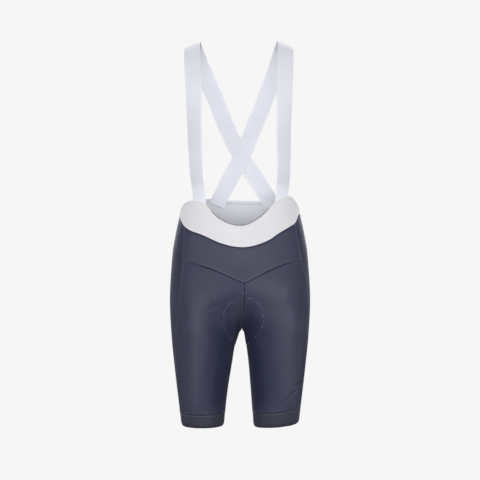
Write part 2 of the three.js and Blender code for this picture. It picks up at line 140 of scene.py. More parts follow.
# Each ring of a stitch: its place along it in lengths, and its radius and height in thread radii.
STITCH_RINGS = ((-0.5, 0.3, -0.9), (-0.36, 0.85, -0.1), (0.36, 0.85, -0.1), (0.5, 0.3, -0.9))


class Side(Enum):
    """The wearer's left, at +X, and right."""

    LEFT = 1
    RIGHT = -1

    @property
    def label(self) -> str:
        """The side's name within the names of pieces and table columns."""
        return self.name.lower()


class Line(Enum):
    """The lines round the body where one length of cloth meets the next."""

    TOP = "top"
    BINDING = "binding"
    BAND = "band"
    YOKE = "yoke"
    CROTCH = "crotch"
    HEM_SEAM = "hem_seam"
    BOTTOM = "bottom"


class Slot(Enum):
    """The record's material slots."""

    NAVY = "navy_knit"
    HEM = "hem_gripper"
    WHITE = "white_band"
    STRAP = "strap_elastic"
    PAD = "pad_foam"


class Edge(Enum):
    """The four edges of a cut of cloth, by where its rows and columns begin and end."""

    TOP = "top"
    BOTTOM = "bottom"
    START = "start"
    END = "end"


def smoothstep(value: np.ndarray | float) -> np.ndarray:
    """Returns an even slope from 0 to 1 as value goes from 0 to 1."""
    t = np.clip(value, 0.0, 1.0)
    return t * t * (3.0 - 2.0 * t)


def unit(vectors: np.ndarray) -> np.ndarray:
    """Returns the vectors at length 1."""
    return vectors / np.maximum(np.linalg.norm(vectors, axis=-1, keepdims=True), 1e-12)


def run_along(points: np.ndarray, axis: int) -> np.ndarray:
    """Measures how far each point lies along its row or column of points.

    Args:
        points: A grid of points, whose last axis is x, y and z.
        axis: The axis of the grid to measure along.

    Returns:
        The distance from the first point of each line.
    """
    gaps = np.linalg.norm(np.diff(points, axis=axis), axis=-1)
    start = np.zeros_like(np.take(gaps, [0], axis=axis))
    return np.concatenate([start, np.cumsum(gaps, axis=axis)], axis=axis)


def fine_ended(count: int, fine_start: bool = True, fine_end: bool = True) -> np.ndarray:
    """Places steps from 0 to 1 that are short at the edges, where cloth rolls into its seams.

    Args:
        count: How many steps there are.
        fine_start: Whether the first steps are short.
        fine_end: Whether the last steps are short.

    Returns:
        The places of the steps' ends, one more than there are steps.
    """
    ramp = np.array(EDGE_STEPS)
    widths = np.ones(count)
    if fine_start:
        widths[: len(ramp)] = ramp
    if fine_end:
        widths[-len(ramp):] = ramp[::-1]
    return np.concatenate([[0.0], np.cumsum(widths) / widths.sum()])


def uneven(run: np.ndarray, pitch: float, seed: float) -> np.ndarray:
    """Makes a wandering wave along a run.

    Args:
        run: Distances along it.
        pitch: About how far apart its bumps are.
        seed: Where it starts.

    Returns:
        Its height at each distance, from about -1 to 1.
    """
    turns = 2.0 * math.pi * run / pitch
    waves = ((1.0, 1.0), (0.618, 2.3), (1.731, 4.1))
    return sum(np.sin(rate * turns + shift * seed) for rate, shift in waves) / 2.2


@dataclass(frozen=True)
class SmoothCurve:
    """A smooth curve through the values of a table."""

    places: np.ndarray
    values: np.ndarray
    slopes: np.ndarray
    runs_on: bool

    @classmethod
    def through(cls, places: Sequence[float], values: Sequence[float],
                flat_ends: bool = False, runs_on: bool = False) -> SmoothCurve:
        """Fits a curve to a table.

        Args:
            places: Where each value belongs, in rising order.
            values: The curve's value at each place.
            flat_ends: Whether the curve arrives level at its two ends.
            runs_on: Whether it goes straight on past its ends, and doesn't stay at its last value.

        Returns:
            The curve.
        """
        x = np.asarray(places, float)
        y = np.asarray(values, float)
        gaps = np.diff(x)
        steepness = np.diff(y) / gaps
        slopes = np.zeros(len(x))
        if not flat_ends:
            slopes[0] = steepness[0]
            slopes[-1] = steepness[-1]
        slopes[1:-1] = (steepness[:-1] * gaps[1:] + steepness[1:] * gaps[:-1]) / (gaps[:-1] + gaps[1:])
        return cls(x, y, slopes, runs_on)

    def __call__(self, place: np.ndarray | float) -> np.ndarray:
        """Reads the curve off.

        Args:
            place: Where to read it.

        Returns:
            Its value at each place.
        """
        asked = np.asarray(place, float)
        x = np.clip(asked, self.places[0], self.places[-1])
        i = np.clip(np.searchsorted(self.places, x, side="right") - 1, 0, len(self.places) - 2)
        width = self.places[i + 1] - self.places[i]
        t = (x - self.places[i]) / width
        rise = self.values[i + 1] - self.values[i]
        start = width * self.slopes[i]
        end = width * self.slopes[i + 1]
        value = self.values[i] + t * start
        value = value + t * t * (3 * rise - 2 * start - end) + t**3 * (start + end - 2 * rise)
        if self.runs_on:
            value = value + (asked - x) * np.where(asked < x, self.slopes[0], self.slopes[-1])
        return value


def curves_of(columns: Sequence[str], rows: Sequence[Sequence[float]],
              flat_ends: Sequence[str] = ()) -> dict[str, SmoothCurve]:
    """Fits one curve to each column of a table whose first column places the rows.

    Args:
        columns: The columns' names.
        rows: The table.
        flat_ends: The columns whose curves end level.

    Returns:
        The curves by column name.
    """
    table = np.asarray(rows, float)
    return {
        name: SmoothCurve.through(table[:, 0], table[:, k], flat_ends=name in flat_ends)
        for k, name in enumerate(columns)
        if k > 0
    }


@dataclass
class BodyForm:
    """The filled-out body under the cloth: two leg ovals that melt into each other above the crotch."""

    oval_power: float = 2.1
    crotch_drop: float = 684.0
    fork_row: float = 600.0
    crotch_row: float = 700.0
    level_row: float = 770.0
    back_turn: float = -0.55
    longest_ray: float = 260.0
    least_melt: float = 0.5
    probe: float = 0.5
    curves: dict[str, SmoothCurve] = field(init=False)

    def __post_init__(self) -> None:
        """Fits the curves of the body's table."""
        self.curves = curves_of(BODY_COLUMNS, BODY_ROWS)

    def at(self, name: str, drop: np.ndarray | float) -> np.ndarray:
        """Returns one of the body table's columns at the given drops."""
        return self.curves[name](drop)

    def leg_depth(self, points: np.ndarray, sign: int) -> np.ndarray:
        """Measures how far points lie outside one leg's oval.

        Args:
            points: The points.
            sign: The leg's side, 1 for the left and -1 for the right.

        Returns:
            The distances, negative inside it.
        """
        drop = -points[..., 2]
        inner = self.at("inner", drop) + sign * self.at("lean", drop)
        outer = self.at("outer", drop)
        dx = points[..., 0] - sign * (inner + outer) / 2
        dy = points[..., 1] - self.at("middle", drop)
        depth = np.where(dy < 0, self.at("front", drop), self.at("back", drop))
        reach = (outer - inner) / 2
        power = self.oval_power
        size = (np.abs(dx / reach) ** power + np.abs(dy / depth) ** power) ** (1 / power)
        distance = np.hypot(dx, dy)
        return np.where(size > TINY, distance - distance / np.maximum(size, TINY), -np.minimum(reach, depth))

    def depth(self, points: np.ndarray) -> np.ndarray:
        """Measures how far points lie outside the body.

        Args:
            points: The points.

        Returns:
            The distances, negative inside it.
        """
        left = self.leg_depth(points, 1)
        right = self.leg_depth(points, -1)
        melt = np.maximum(self.at("melt", -points[..., 2]), self.least_melt)
        blend = np.maximum(melt - np.abs(left - right), 0.0) / melt
        return np.minimum(left, right) - blend * blend * melt / 4

    def normal(self, points: np.ndarray) -> np.ndarray:
        """Returns the body's outward direction near each point."""
        slopes = [self.depth(points + step) - self.depth(points - step) for step in self.probe * np.eye(3)]
        return unit(np.stack(slopes, axis=-1))

    def leave(self, origins: np.ndarray, directions: np.ndarray, reach: np.ndarray | float) -> np.ndarray:
        """Finds where rays from inside the body leave it.

        Args:
            origins: Where the rays start.
            directions: Their directions, at length 1.
            reach: How far each ray may go.

        Returns:
            The points where they leave, or their ends.
        """
        inside = np.zeros(origins.shape[:-1])
        outside = np.broadcast_to(np.asarray(reach, float), inside.shape).copy()
        for _ in range(RAY_HALVINGS):
            middle = (inside + outside) / 2
            out = self.depth(origins + directions * middle[..., None]) > 0
            outside = np.where(out, middle, outside)
            inside = np.where(out, inside, middle)
        return origins + directions * ((inside + outside) / 2)[..., None]

    def centre_point(self, rows: np.ndarray, at_back: bool) -> np.ndarray:
        """Finds the points of rows on the body's centre line, whose front and back meet at the crotch.

        Args:
            rows: The rows.
            at_back: Whether they are wanted at the back.

        Returns:
            The points.
        """
        rows = np.asarray(rows, float)
        bend = np.clip((rows - self.fork_row) / (self.crotch_row - self.fork_row), 0, 1) * math.pi / 2
        turn = self.at("turn", rows) * (self.back_turn if at_back else 1.0)
        lean = self.at("lean", self.crotch_drop)
        across = lean + (turn - lean) * np.cos(bend)
        origins = np.stack([across, 0 * rows, -np.minimum(rows, self.fork_row)], axis=-1)
        directions = np.stack([0 * rows, (1 if at_back else -1) * np.cos(bend), -np.sin(bend)], axis=-1)
        return self.leave(origins, directions, self.longest_ray)

    def point(self, side: Side, rows: np.ndarray, around: np.ndarray) -> np.ndarray:
        """Finds the points of the body where rows meet columns.

        Args:
            side: The side of the body.
            rows: The points' rows.
            around: How far round the side they lie, from 0 to 1.

        Returns:
            The points.
        """
        rows, around = np.broadcast_arrays(np.asarray(rows, float), np.asarray(around, float))
        sign = side.value
        inner = self.at("inner", rows) + sign * self.at("lean", rows)
        middle = sign * (inner + self.at("outer", rows)) / 2
        axis = np.stack([middle, self.at("middle", rows), -rows], axis=-1)
        upper = np.minimum(rows, self.crotch_row)
        front, back = (self.centre_point(upper, at_back) for at_back in (False, True))
        near = np.where((around < 0.5)[..., None], front, back) - axis
        joined = rows < self.crotch_row
        lean = self.at("lean", self.crotch_drop)
        seam_x = np.where(joined, near[..., 0] + axis[..., 0], lean)
        front_away = front - axis
        back_away = back - axis
        start = np.where(joined, np.arctan2(-front_away[..., 1], -sign * front_away[..., 0]), 0.0)
        end = np.where(joined, np.arctan2(-back_away[..., 1], -sign * back_away[..., 0]), 0.0) + 2 * math.pi
        sunk = self.crotch_row - self.crotch_drop
        lift = sunk * (1 - smoothstep((rows - self.crotch_row) / (self.level_row - self.crotch_row)))
        climb = np.where(
            joined,
            near[..., 2] / np.maximum(np.hypot(near[..., 0], near[..., 1]), TINY),
            lift / np.abs(axis[..., 0] - lean),
        )
        angle = start + (end - start) * around
        fade = np.cos(math.pi * np.minimum(around, 1 - around)) ** 2
        direction = unit(np.stack([-sign * np.cos(angle), -np.sin(angle), climb * fade], axis=-1))
        toward = -sign * direction[..., 0]
        barely = 1e-6
        reach = np.minimum(np.abs(axis[..., 0] - seam_x) / np.maximum(toward, barely), self.longest_ray)
        return self.leave(axis, direction, np.where(toward > barely, reach, self.longest_ray))

    def step(self, points: np.ndarray, heading: np.ndarray,
             distance: np.ndarray) -> tuple[np.ndarray, np.ndarray]:
        """Takes one step over the body's surface.

        Args:
            points: Points of the surface.
            heading: Their directions, at length 1.
            distance: How far each one goes.

        Returns:
            The points reached, and the directions that go on from there.
        """
        points = points + heading * distance[..., None]
        for _ in range(2):
            points = points - self.normal(points) * self.depth(points)[..., None]
        normal = self.normal(points)
        return points, unit(heading - normal * (heading * normal).sum(-1, keepdims=True))


@dataclass
class CutLines:
    """Where the lines between the lengths of cloth run on the body."""

    form: BodyForm
    binding_height: float = 8.0
    openings: dict[Side, float] = field(default_factory=lambda: {Side.LEFT: 917.0, Side.RIGHT: 914.5})
    opening_lifts: dict[Side, float] = field(default_factory=lambda: {Side.LEFT: 8.5, Side.RIGHT: 0.0})
    hem_seams: dict[Side, float] = field(default_factory=lambda: {Side.LEFT: 881.5, Side.RIGHT: 883.0})
    hem_seam_lifts: dict[Side, float] = field(default_factory=lambda: {Side.LEFT: 16.0, Side.RIGHT: 0.0})
    band_joint_share: float = 11 / 14
    curves: dict[str, SmoothCurve] = field(init=False)

    def __post_init__(self) -> None:
        """Fits the curves of the waistband's edges and the yoke seam."""
        flat = [name for name in EDGE_COLUMNS if not name.startswith("yoke")]
        self.curves = curves_of(EDGE_COLUMNS, EDGE_ROWS, flat)

    def level(self, side: Side, line: Line, around: np.ndarray) -> np.ndarray:
        """Finds how far below the shoulders a line runs.

        Args:
            side: The side of the body.
            line: The line.
            around: Places round the side.

        Returns:
            The line's row at each place.
        """
        around = np.asarray(around, float)
        if line is Line.CROTCH:
            return np.full_like(around, self.form.crotch_row)
        if line is Line.BINDING:
            top = self.level(side, Line.TOP, around)
            return top + np.minimum(self.binding_height, (self.level(side, Line.BAND, around) - top) / 2)
        if line is Line.HEM_SEAM:
            return self.hem_seams[side] - self.hem_seam_lifts[side] * np.sin(math.pi * around) ** 4
        if line is Line.BOTTOM:
            return self.openings[side] - self.opening_lifts[side] * np.sin(math.pi * around) ** 2
        return self.curves[f"{line.value}_{side.label}"](around)

    def side_seam(self, side: Side, rows: np.ndarray) -> np.ndarray:
        """Returns how far round each row the side seam lies."""
        return self.form.at(f"seam_{side.label}", rows)

    def row_at(self, side: Side, around: np.ndarray, upper: Line, lower: Line,
               share: np.ndarray) -> np.ndarray:
        """Returns the row at a share of the way from one line down to another."""
        top = self.level(side, upper, around)
        return top + (self.level(side, lower, around) - top) * share

    def settle(self, side: Side, at_back: bool, across: np.ndarray,
               upper: Line, lower: Line, down: np.ndarray) -> tuple[np.ndarray, np.ndarray]:
        """Places a panel's points by their shares of the way to its side seam and down between two lines.

        Args:
            side: The side of the body.
            at_back: Whether the panel is a back one.
            across: Shares from the centre, at 0, to the side seam, at 1.
            upper: The line above.
            lower: The line below.
            down: Shares from the upper line to the lower.

        Returns:
            The points' rows, and how far round the side they lie.
        """
        centre = 1.0 if at_back else 0.0
        across, down = np.broadcast_arrays(across, down)
        around = np.full(across.shape, centre)
        rows = self.row_at(side, around, upper, lower, down)
        for _ in range(6):
            around = centre + (self.side_seam(side, rows) - centre) * across
            rows = self.row_at(side, around, upper, lower, down)
        return rows, around

    def panel(self, side: Side, at_back: bool, across: np.ndarray,
              regions: Sequence[tuple[Line, Line, np.ndarray]]) -> np.ndarray:
        """Lays out one side's panel.

        Args:
            side: The side of the body.
            at_back: Whether it is a back panel.
            across: Shares from the centre to the side seam, one for each column.
            regions: The lines above and below each stretch of rows, and the rows' shares between them.

        Returns:
            The points of the body, by column and row.
        """
        parts = []
        for k, (upper, lower, down) in enumerate(regions):
            shares = down if k == 0 else down[1:]
            rows, around = self.settle(side, at_back, across[:, None], upper, lower, shares[None, :])
            parts.append(self.form.point(side, rows, around))
        return np.concatenate(parts, axis=1)

    def band_joint(self, side: Side) -> float:
        """Finds where the front waistband meets the back one.

        Args:
            side: The side of the body.

        Returns:
            How far round that side it is.
        """
        share = np.array([self.band_joint_share])
        _, around = self.settle(side, True, share, Line.BAND, Line.BAND, np.zeros(1))
        return float(around[0])


@dataclass(frozen=True)
class SeamShape:
    """How cloth dips into a seam and stands proud beside it, with painted shade in its groove and a painted
    highlight on its ridge.
    """

    groove: float = 0.5
    groove_width: float = 1.3
    ridge: float = 0.35
    ridge_place: float = 3.2
    ridge_width: float = 2.0
    pucker: float = 0.12
    pucker_pitch: float = 7.0
    pucker_reach: float = 2.2
    # shade paints shadow into the groove's colour, and shine paints a highlight on the ridge.
    shade: float = 0.0
    shade_width: float = 1.6
    shine: float = 0.0

    def height(self, away: np.ndarray, run: np.ndarray, seed: float) -> np.ndarray:
        """Works out how high the cloth stands beside the seam.

        Args:
            away: Distances from the seam.
            run: Distances along it.
            seed: Where the puckers start.

        Returns:
            Heights, negative in the groove.
        """
        dip = -self.groove * np.exp(-((away / self.groove_width) ** 2))
        proud = self.ridge * np.exp(-(((away - self.ridge_place) / self.ridge_width) ** 2))
        reach = self.pucker_reach * self.ridge_place
        spread = np.exp(-((away / reach) ** 2)) * smoothstep(away / self.groove_width)
        return dip + proud + self.pucker * spread * uneven(run, self.pucker_pitch, seed)

    def tone(self, away: np.ndarray) -> np.ndarray:
        """Returns the share of its colour that cloth shows at each distance from the seam: painted shade in
        the groove, painted highlight on the ridge.
        """
        shaded = self.shade * np.exp(-((away / self.shade_width) ** 2))
        return 1 - shaded + self.shine * np.exp(-(((away - self.ridge_place) / self.ridge_width) ** 2))


@dataclass(frozen=True)
class Stroke:
    """A soft mark over one side of the body, through stations that each give a row and a place around."""

    side: Side
    route: tuple[tuple[float, float], ...]
    width: float
    strength: float
    reach: float = 3.2

    def line(self, form: BodyForm) -> np.ndarray:
        """Follows the stroke over the body.

        Args:
            form: The body.

        Returns:
            Points along the stroke.
        """
        number = np.arange(len(self.route))
        place = np.linspace(0, number[-1], STROKE_POINTS)
        rows, around = (SmoothCurve.through(number, column)(place) for column in zip(*self.route))
        return form.point(self.side, rows, around)

    def nearness(self, form: BodyForm, points: np.ndarray) -> tuple[np.ndarray, np.ndarray, np.ndarray]:
        """Finds the points that the stroke reaches.

        Args:
            form: The body.
            points: Points near its surface.

        Returns:
            Which of them it reaches, and for those, their distances in widths and nearest places from 0 to 1.
        """
        line = self.line(form)
        reach = self.reach * self.width
        near = np.all((points > line.min(0) - reach) & (points < line.max(0) + reach), axis=-1)
        away = np.linalg.norm(points[near][:, None, :] - line[None, :, :], axis=-1)
        place = away.argmin(axis=1) / (len(line) - 1)
        return near, away.min(axis=1) / self.width, place


@dataclass(frozen=True)
class Crease(Stroke):
    """A soft trough with a low lip on each side, as deep as its strength, and slimmer towards its ends."""

    slimmest: float = 0.55
    swell: float = 0.45
    lip: float = 0.35
    lip_place: float = 1.9
    lip_sharpness: float = 1.4

    def height(self, form: BodyForm, points: np.ndarray) -> np.ndarray:
        """Works out how far the crease moves points of the cloth.

        Args:
            form: The body.
            points: Points near its surface.

        Returns:
            Heights, negative in a trough, that fade out towards the crease's two ends.
        """
        near, away, place = self.nearness(form, points)
        fade = np.sin(math.pi * np.clip(0.06 + 0.88 * place, 0, 1)) ** 0.8
        profile = away / (self.slimmest + self.swell * fade)
        lips = self.lip * np.exp(-((profile - self.lip_place) ** 2) * self.lip_sharpness)
        trough = np.exp(-(profile**2)) - lips
        heights = np.zeros(points.shape[:-1])
        heights[near] = -self.strength * fade * trough
        return heights


@dataclass(frozen=True)
class ToneMark(Stroke):
    """A stroke of painted highlight, or of painted shade where its strength is negative, laid into the
    cloth's colour.
    """

    end_fade: float = 0.16

    def tone(self, form: BodyForm, points: np.ndarray) -> np.ndarray:
        """Works out what the stroke adds to the cloth's tone.

        Args:
            form: The body.
            points: Points near its surface.

        Returns:
            The tone to add at each of them.
        """
        near, away, place = self.nearness(form, points)
        fade = smoothstep(place / self.end_fade) * smoothstep((1 - place) / self.end_fade)
        gain = np.zeros(points.shape[:-1])
        gain[near] = self.strength * fade * np.exp(-(away**2))
        return gain


@dataclass
class ClothGrid:
    """A cut of cloth as columns and rows of points on its outer face.

    Its tone is the share of its colour that the outer face shows, and inner_share is the inner
    face's tone over the outer one's. Both were set under this studio's lamps, and hold some of
    their light and shade.
    """

    points: np.ndarray
    normals: np.ndarray
    wall: float
    closed: bool = False
    joined: tuple[Edge, ...] = ()
    tone: np.ndarray = field(init=False)
    inner_share: np.ndarray = field(init=False)

    def __post_init__(self) -> None:
        """Starts with one even tone on both faces."""
        self.tone = np.ones(self.points.shape[:2])
        self.inner_share = np.ones(self.points.shape[:2])

    def laps(self, edge: Edge) -> tuple[np.ndarray, np.ndarray, np.ndarray]:
        """Turns the grid so that its first axis runs along an edge and its second away from it.

        Args:
            edge: The edge.

        Returns:
            The points and normals in that order, and each point's distance from the edge.
        """
        points, normals = self.points, self.normals
        if edge in (Edge.START, Edge.END):
            points, normals = points.transpose(1, 0, 2), normals.transpose(1, 0, 2)
        if edge in (Edge.BOTTOM, Edge.END):
            points, normals = points[:, ::-1], normals[:, ::-1]
        return points, normals, run_along(points, 1)

    def away_from(self, edge: Edge) -> np.ndarray:
        """Measures each point's distance from an edge.

        Args:
            edge: The edge.

        Returns:
            The distances, in the grid's own order.
        """
        away = self.laps(edge)[2]
        if edge in (Edge.BOTTOM, Edge.END):
            away = away[:, ::-1]
        return away.T if edge in (Edge.START, Edge.END) else away

    def run_beside(self, edge: Edge) -> np.ndarray:
        """Returns how far along an edge each point lies, in the grid's own order."""
        return run_along(self.points, 1 if edge in (Edge.START, Edge.END) else 0)

    def raise_by(self, heights: np.ndarray) -> None:
        """Moves the cloth out from the body by the given heights."""
        self.points = self.points + self.normals * heights[..., None]

    def seam(self, edge: Edge, shape: SeamShape, seed: float) -> np.ndarray:
        """Paints shade into the cloth's colour in a seam's groove, and a highlight on its ridge, along one of
        its edges.

        Args:
            edge: The edge.
            shape: The seam's shape.
            seed: Where its puckers start.

        Returns:
            The heights that the seam gives the cloth, which aren't yet added to it.
        """
        away = self.away_from(edge)
        self.tone = self.tone * shape.tone(away)
        return shape.height(away, self.run_beside(edge), seed)

    def line_beside(self, edge: Edge, inset: float) -> tuple[np.ndarray, np.ndarray]:
        """Finds a line on the cloth beside one of its edges.

        Args:
            edge: The edge.
            inset: The line's distance from it.

        Returns:
            The line's points and the cloth's outward directions there.
        """
        points, normals, away = self.laps(edge)
        line = np.array([[np.interp(inset, a, p[:, k]) for k in range(3)] for a, p in zip(away, points)])
        out = np.array([[np.interp(inset, a, n[:, k]) for k in range(3)] for a, n in zip(away, normals)])
        return line, unit(out)

    def slope(self, axis: int) -> np.ndarray:
        """Finds the way that the cloth runs at each point.

        Args:
            axis: 0 for along its rows, or 1 for down its columns.

        Returns:
            The directions, at any length.
        """
        if axis == 0 and self.closed:
            return np.roll(self.points, -1, axis=0) - np.roll(self.points, 1, axis=0)
        return np.gradient(self.points, axis=axis)

    def refresh_normals(self) -> None:
        """Works out the cloth's outward directions as it now lies; a joined edge keeps the body's own."""
        fresh = unit(np.cross(self.slope(0), self.slope(1)))
        fresh = np.where((fresh * self.normals).sum(-1, keepdims=True) < 0, -fresh, fresh)
        ends = {Edge.START: np.s_[0], Edge.END: np.s_[-1], Edge.TOP: np.s_[:, 0], Edge.BOTTOM: np.s_[:, -1]}
        for edge in self.joined:
            fresh[ends[edge]] = self.normals[ends[edge]]
        self.normals = fresh

    def faces(self) -> tuple[np.ndarray, np.ndarray]:
        """Rounds the cloth's edges over into its wall; a joined edge stays shut on the inside.

        Returns:
            The points of its outer and inner faces.
        """
        radius = EDGE_ROUND * self.wall
        outer_cut, inner_cut = np.zeros((2,) + self.points.shape[:2])
        for edge in Edge:
            if self.closed and edge in (Edge.START, Edge.END):
                continue
            inside = np.clip(1 - self.away_from(edge) / radius, 0, 1)
            cut = radius * (1 - np.sqrt(1 - inside**2))
            outer_cut = np.maximum(outer_cut, cut)
            if edge not in self.joined:
                inner_cut = np.maximum(inner_cut, cut)
        outer = self.points - self.normals * outer_cut[..., None]
        inner = self.points - self.normals * (self.wall - inner_cut)[..., None]
        return outer, inner

    def cut_map(self) -> np.ndarray:
        """Returns where each point lies on the flat cloth, in metres; a closed grid has one more column."""
        points = np.concatenate([self.points, self.points[:1]]) if self.closed else self.points
        return np.stack([run_along(points, 0), run_along(points, 1)], axis=-1) * MM

    def build(self, name: str, finish: bpy.types.Material) -> bpy.types.Object:
        """Makes the cloth's mesh.

        Args:
            name: The piece's name.
            finish: The material it is dressed in.

        Returns:
            The piece, which rides on the body.
        """
        outer, inner = self.faces()
        columns, rows = outer.shape[:2]
        spans = columns if self.closed else columns - 1
        i, j = np.meshgrid(np.arange(spans), np.arange(rows - 1), indexing="ij")
        i, j = i.ravel(), j.ravel()
        quads = [corners((i, j, 0), (i + 1, j, 0), (i + 1, j + 1, 0), (i, j + 1, 0)),
                 corners((i, j, 1), (i, j + 1, 1), (i + 1, j + 1, 1), (i + 1, j, 1))]
        a = np.arange(spans)
        low = rows - 1
        quads.append(corners((a, 0, 0), (a, 0, 1), (a + 1, 0, 1), (a + 1, 0, 0)))
        quads.append(corners((a, low, 0), (a + 1, low, 0), (a + 1, low, 1), (a, low, 1)))
        if not self.closed:
            b = np.arange(rows - 1)
            end = columns - 1
            quads.append(corners((0, b, 0), (0, b + 1, 0), (0, b + 1, 1), (0, b, 1)))
            quads.append(corners((end, b, 0), (end, b, 1), (end, b + 1, 1), (end, b + 1, 0)))
        corner = np.concatenate(quads)
        middle = (columns // 2, rows // 2)
        across = outer[middle[0] + 1, middle[1]] - outer[middle]
        down = outer[middle[0], middle[1] + 1] - outer[middle]
        if np.dot(np.cross(across, down), self.normals[middle]) < 0:
            corner = corner[:, ::-1]
        number = ((corner[..., 0] % columns) * rows + corner[..., 1]) * 2 + corner[..., 2]
        piece = new_piece(name, np.stack([outer, inner], axis=2), number.tolist(), finish)
        flat = self.cut_map()[corner[..., 0], corner[..., 1]]
        tone = np.stack([self.tone, self.tone * self.inner_share], axis=-1)
        dress_mesh(piece, flat, tone)
        return piece


def corners(*steps: tuple[Any, Any, int]) -> np.ndarray:
    """Returns faces, given the column, row and side of the cloth of each corner in turn."""
    return np.stack([np.stack(np.broadcast_arrays(*step), axis=-1) for step in steps], axis=1)


def new_piece(name: str, points: np.ndarray, faces: list[list[int]],
              finish: bpy.types.Material) -> bpy.types.Object:
    """Makes a piece that rides on the body from points and faces.

    Args:
        name: The piece's name.
        points: Its points, in millimetres.
        faces: The numbers of each face's corners.
        finish: Its material.

    Returns:
        The piece.
    """
    mesh = bpy.data.meshes.new(name)
    mesh.from_pydata((points.reshape(-1, 3) * MM).tolist(), [], faces)
    mesh.materials.append(finish)
    mesh.update()
    piece = bpy.data.objects.new(name, mesh)
    bpy.context.scene.collection.objects.link(piece)
    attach(piece, BODY)
    return piece


def dress_mesh(piece: bpy.types.Object, flat: np.ndarray, tone: np.ndarray) -> None:
    """Gives a piece its flat cut and its tone, and smooths its shading.

    Args:
        piece: The piece.
        flat: Where each face's corners lie on the flat cloth, in metres.
        tone: The share of its colour that the cloth shows at each point, which holds painted light and shade.
    """
    mesh = piece.data
    mesh.uv_layers.new(name=CUT_MAP).data.foreach_set("uv", flat.reshape(-1).astype(np.float32))
    mesh.attributes.new(TONE, "FLOAT", "POINT").data.foreach_set("value", tone.ravel().astype(np.float32))
    bpy.ops.object.select_all(action="DESELECT")
    bpy.context.view_layer.objects.active = piece
    piece.select_set(True)
    bpy.ops.object.shade_smooth_by_angle(angle=math.radians(SMOOTH_TO))
    piece.select_set(False)


class Signal:
    """A socket whose arithmetic adds the nodes that work it out."""

    def __init__(self, bench: NodeBench, socket: bpy.types.NodeSocket) -> None:
        """Keeps the socket and the bench that its nodes are put on."""
        self.bench = bench
        self.socket = socket

    def maths(self, operation: str, *values: Signal | float) -> Signal:
        """Returns the result of a Math node on the given values."""
        node = self.bench.node("ShaderNodeMath", {"operation": operation}, dict(enumerate(values)))
        return Signal(self.bench, node.outputs[0])

    def __add__(self, other: Signal | float) -> Signal:
        """Returns the sum."""
        return self.maths("ADD", self, other)

    def __radd__(self, other: float) -> Signal:
        """Returns the sum."""
        return self.maths("ADD", other, self)

    def __sub__(self, other: Signal | float) -> Signal:
        """Returns the difference."""
        return self.maths("SUBTRACT", self, other)

    def __rsub__(self, other: float) -> Signal:
        """Returns the difference, the other way round."""
        return self.maths("SUBTRACT", other, self)

    def __mul__(self, other: Signal | float) -> Signal:
        """Returns the product."""
        return self.maths("MULTIPLY", self, other)

    def __rmul__(self, other: float) -> Signal:
        """Returns the product."""
        return self.maths("MULTIPLY", other, self)

    def wave(self) -> Signal:
        """Returns a wave from 0 to 1 that repeats once for each whole number."""
        return self.maths("COSINE", self * (2 * math.pi)) * 0.5 + 0.5

    def saw(self) -> Signal:
        """Returns a zigzag from 0 to 1 that repeats once for each whole number."""
        return self.maths("PINGPONG", self, 0.5) * 2.0

    def cut_off(self, low: float, high: float) -> Signal:
        """Makes an even slope.

        Args:
            low: Where it leaves 0.
            high: Where it reaches 1.

        Returns:
            The signal.
        """
        sockets = {"Value": self, "From Min": low, "From Max": high}
        node = self.bench.node("ShaderNodeMapRange", {"interpolation_type": "SMOOTHSTEP"}, sockets)
        return Signal(self.bench, node.outputs["Result"])


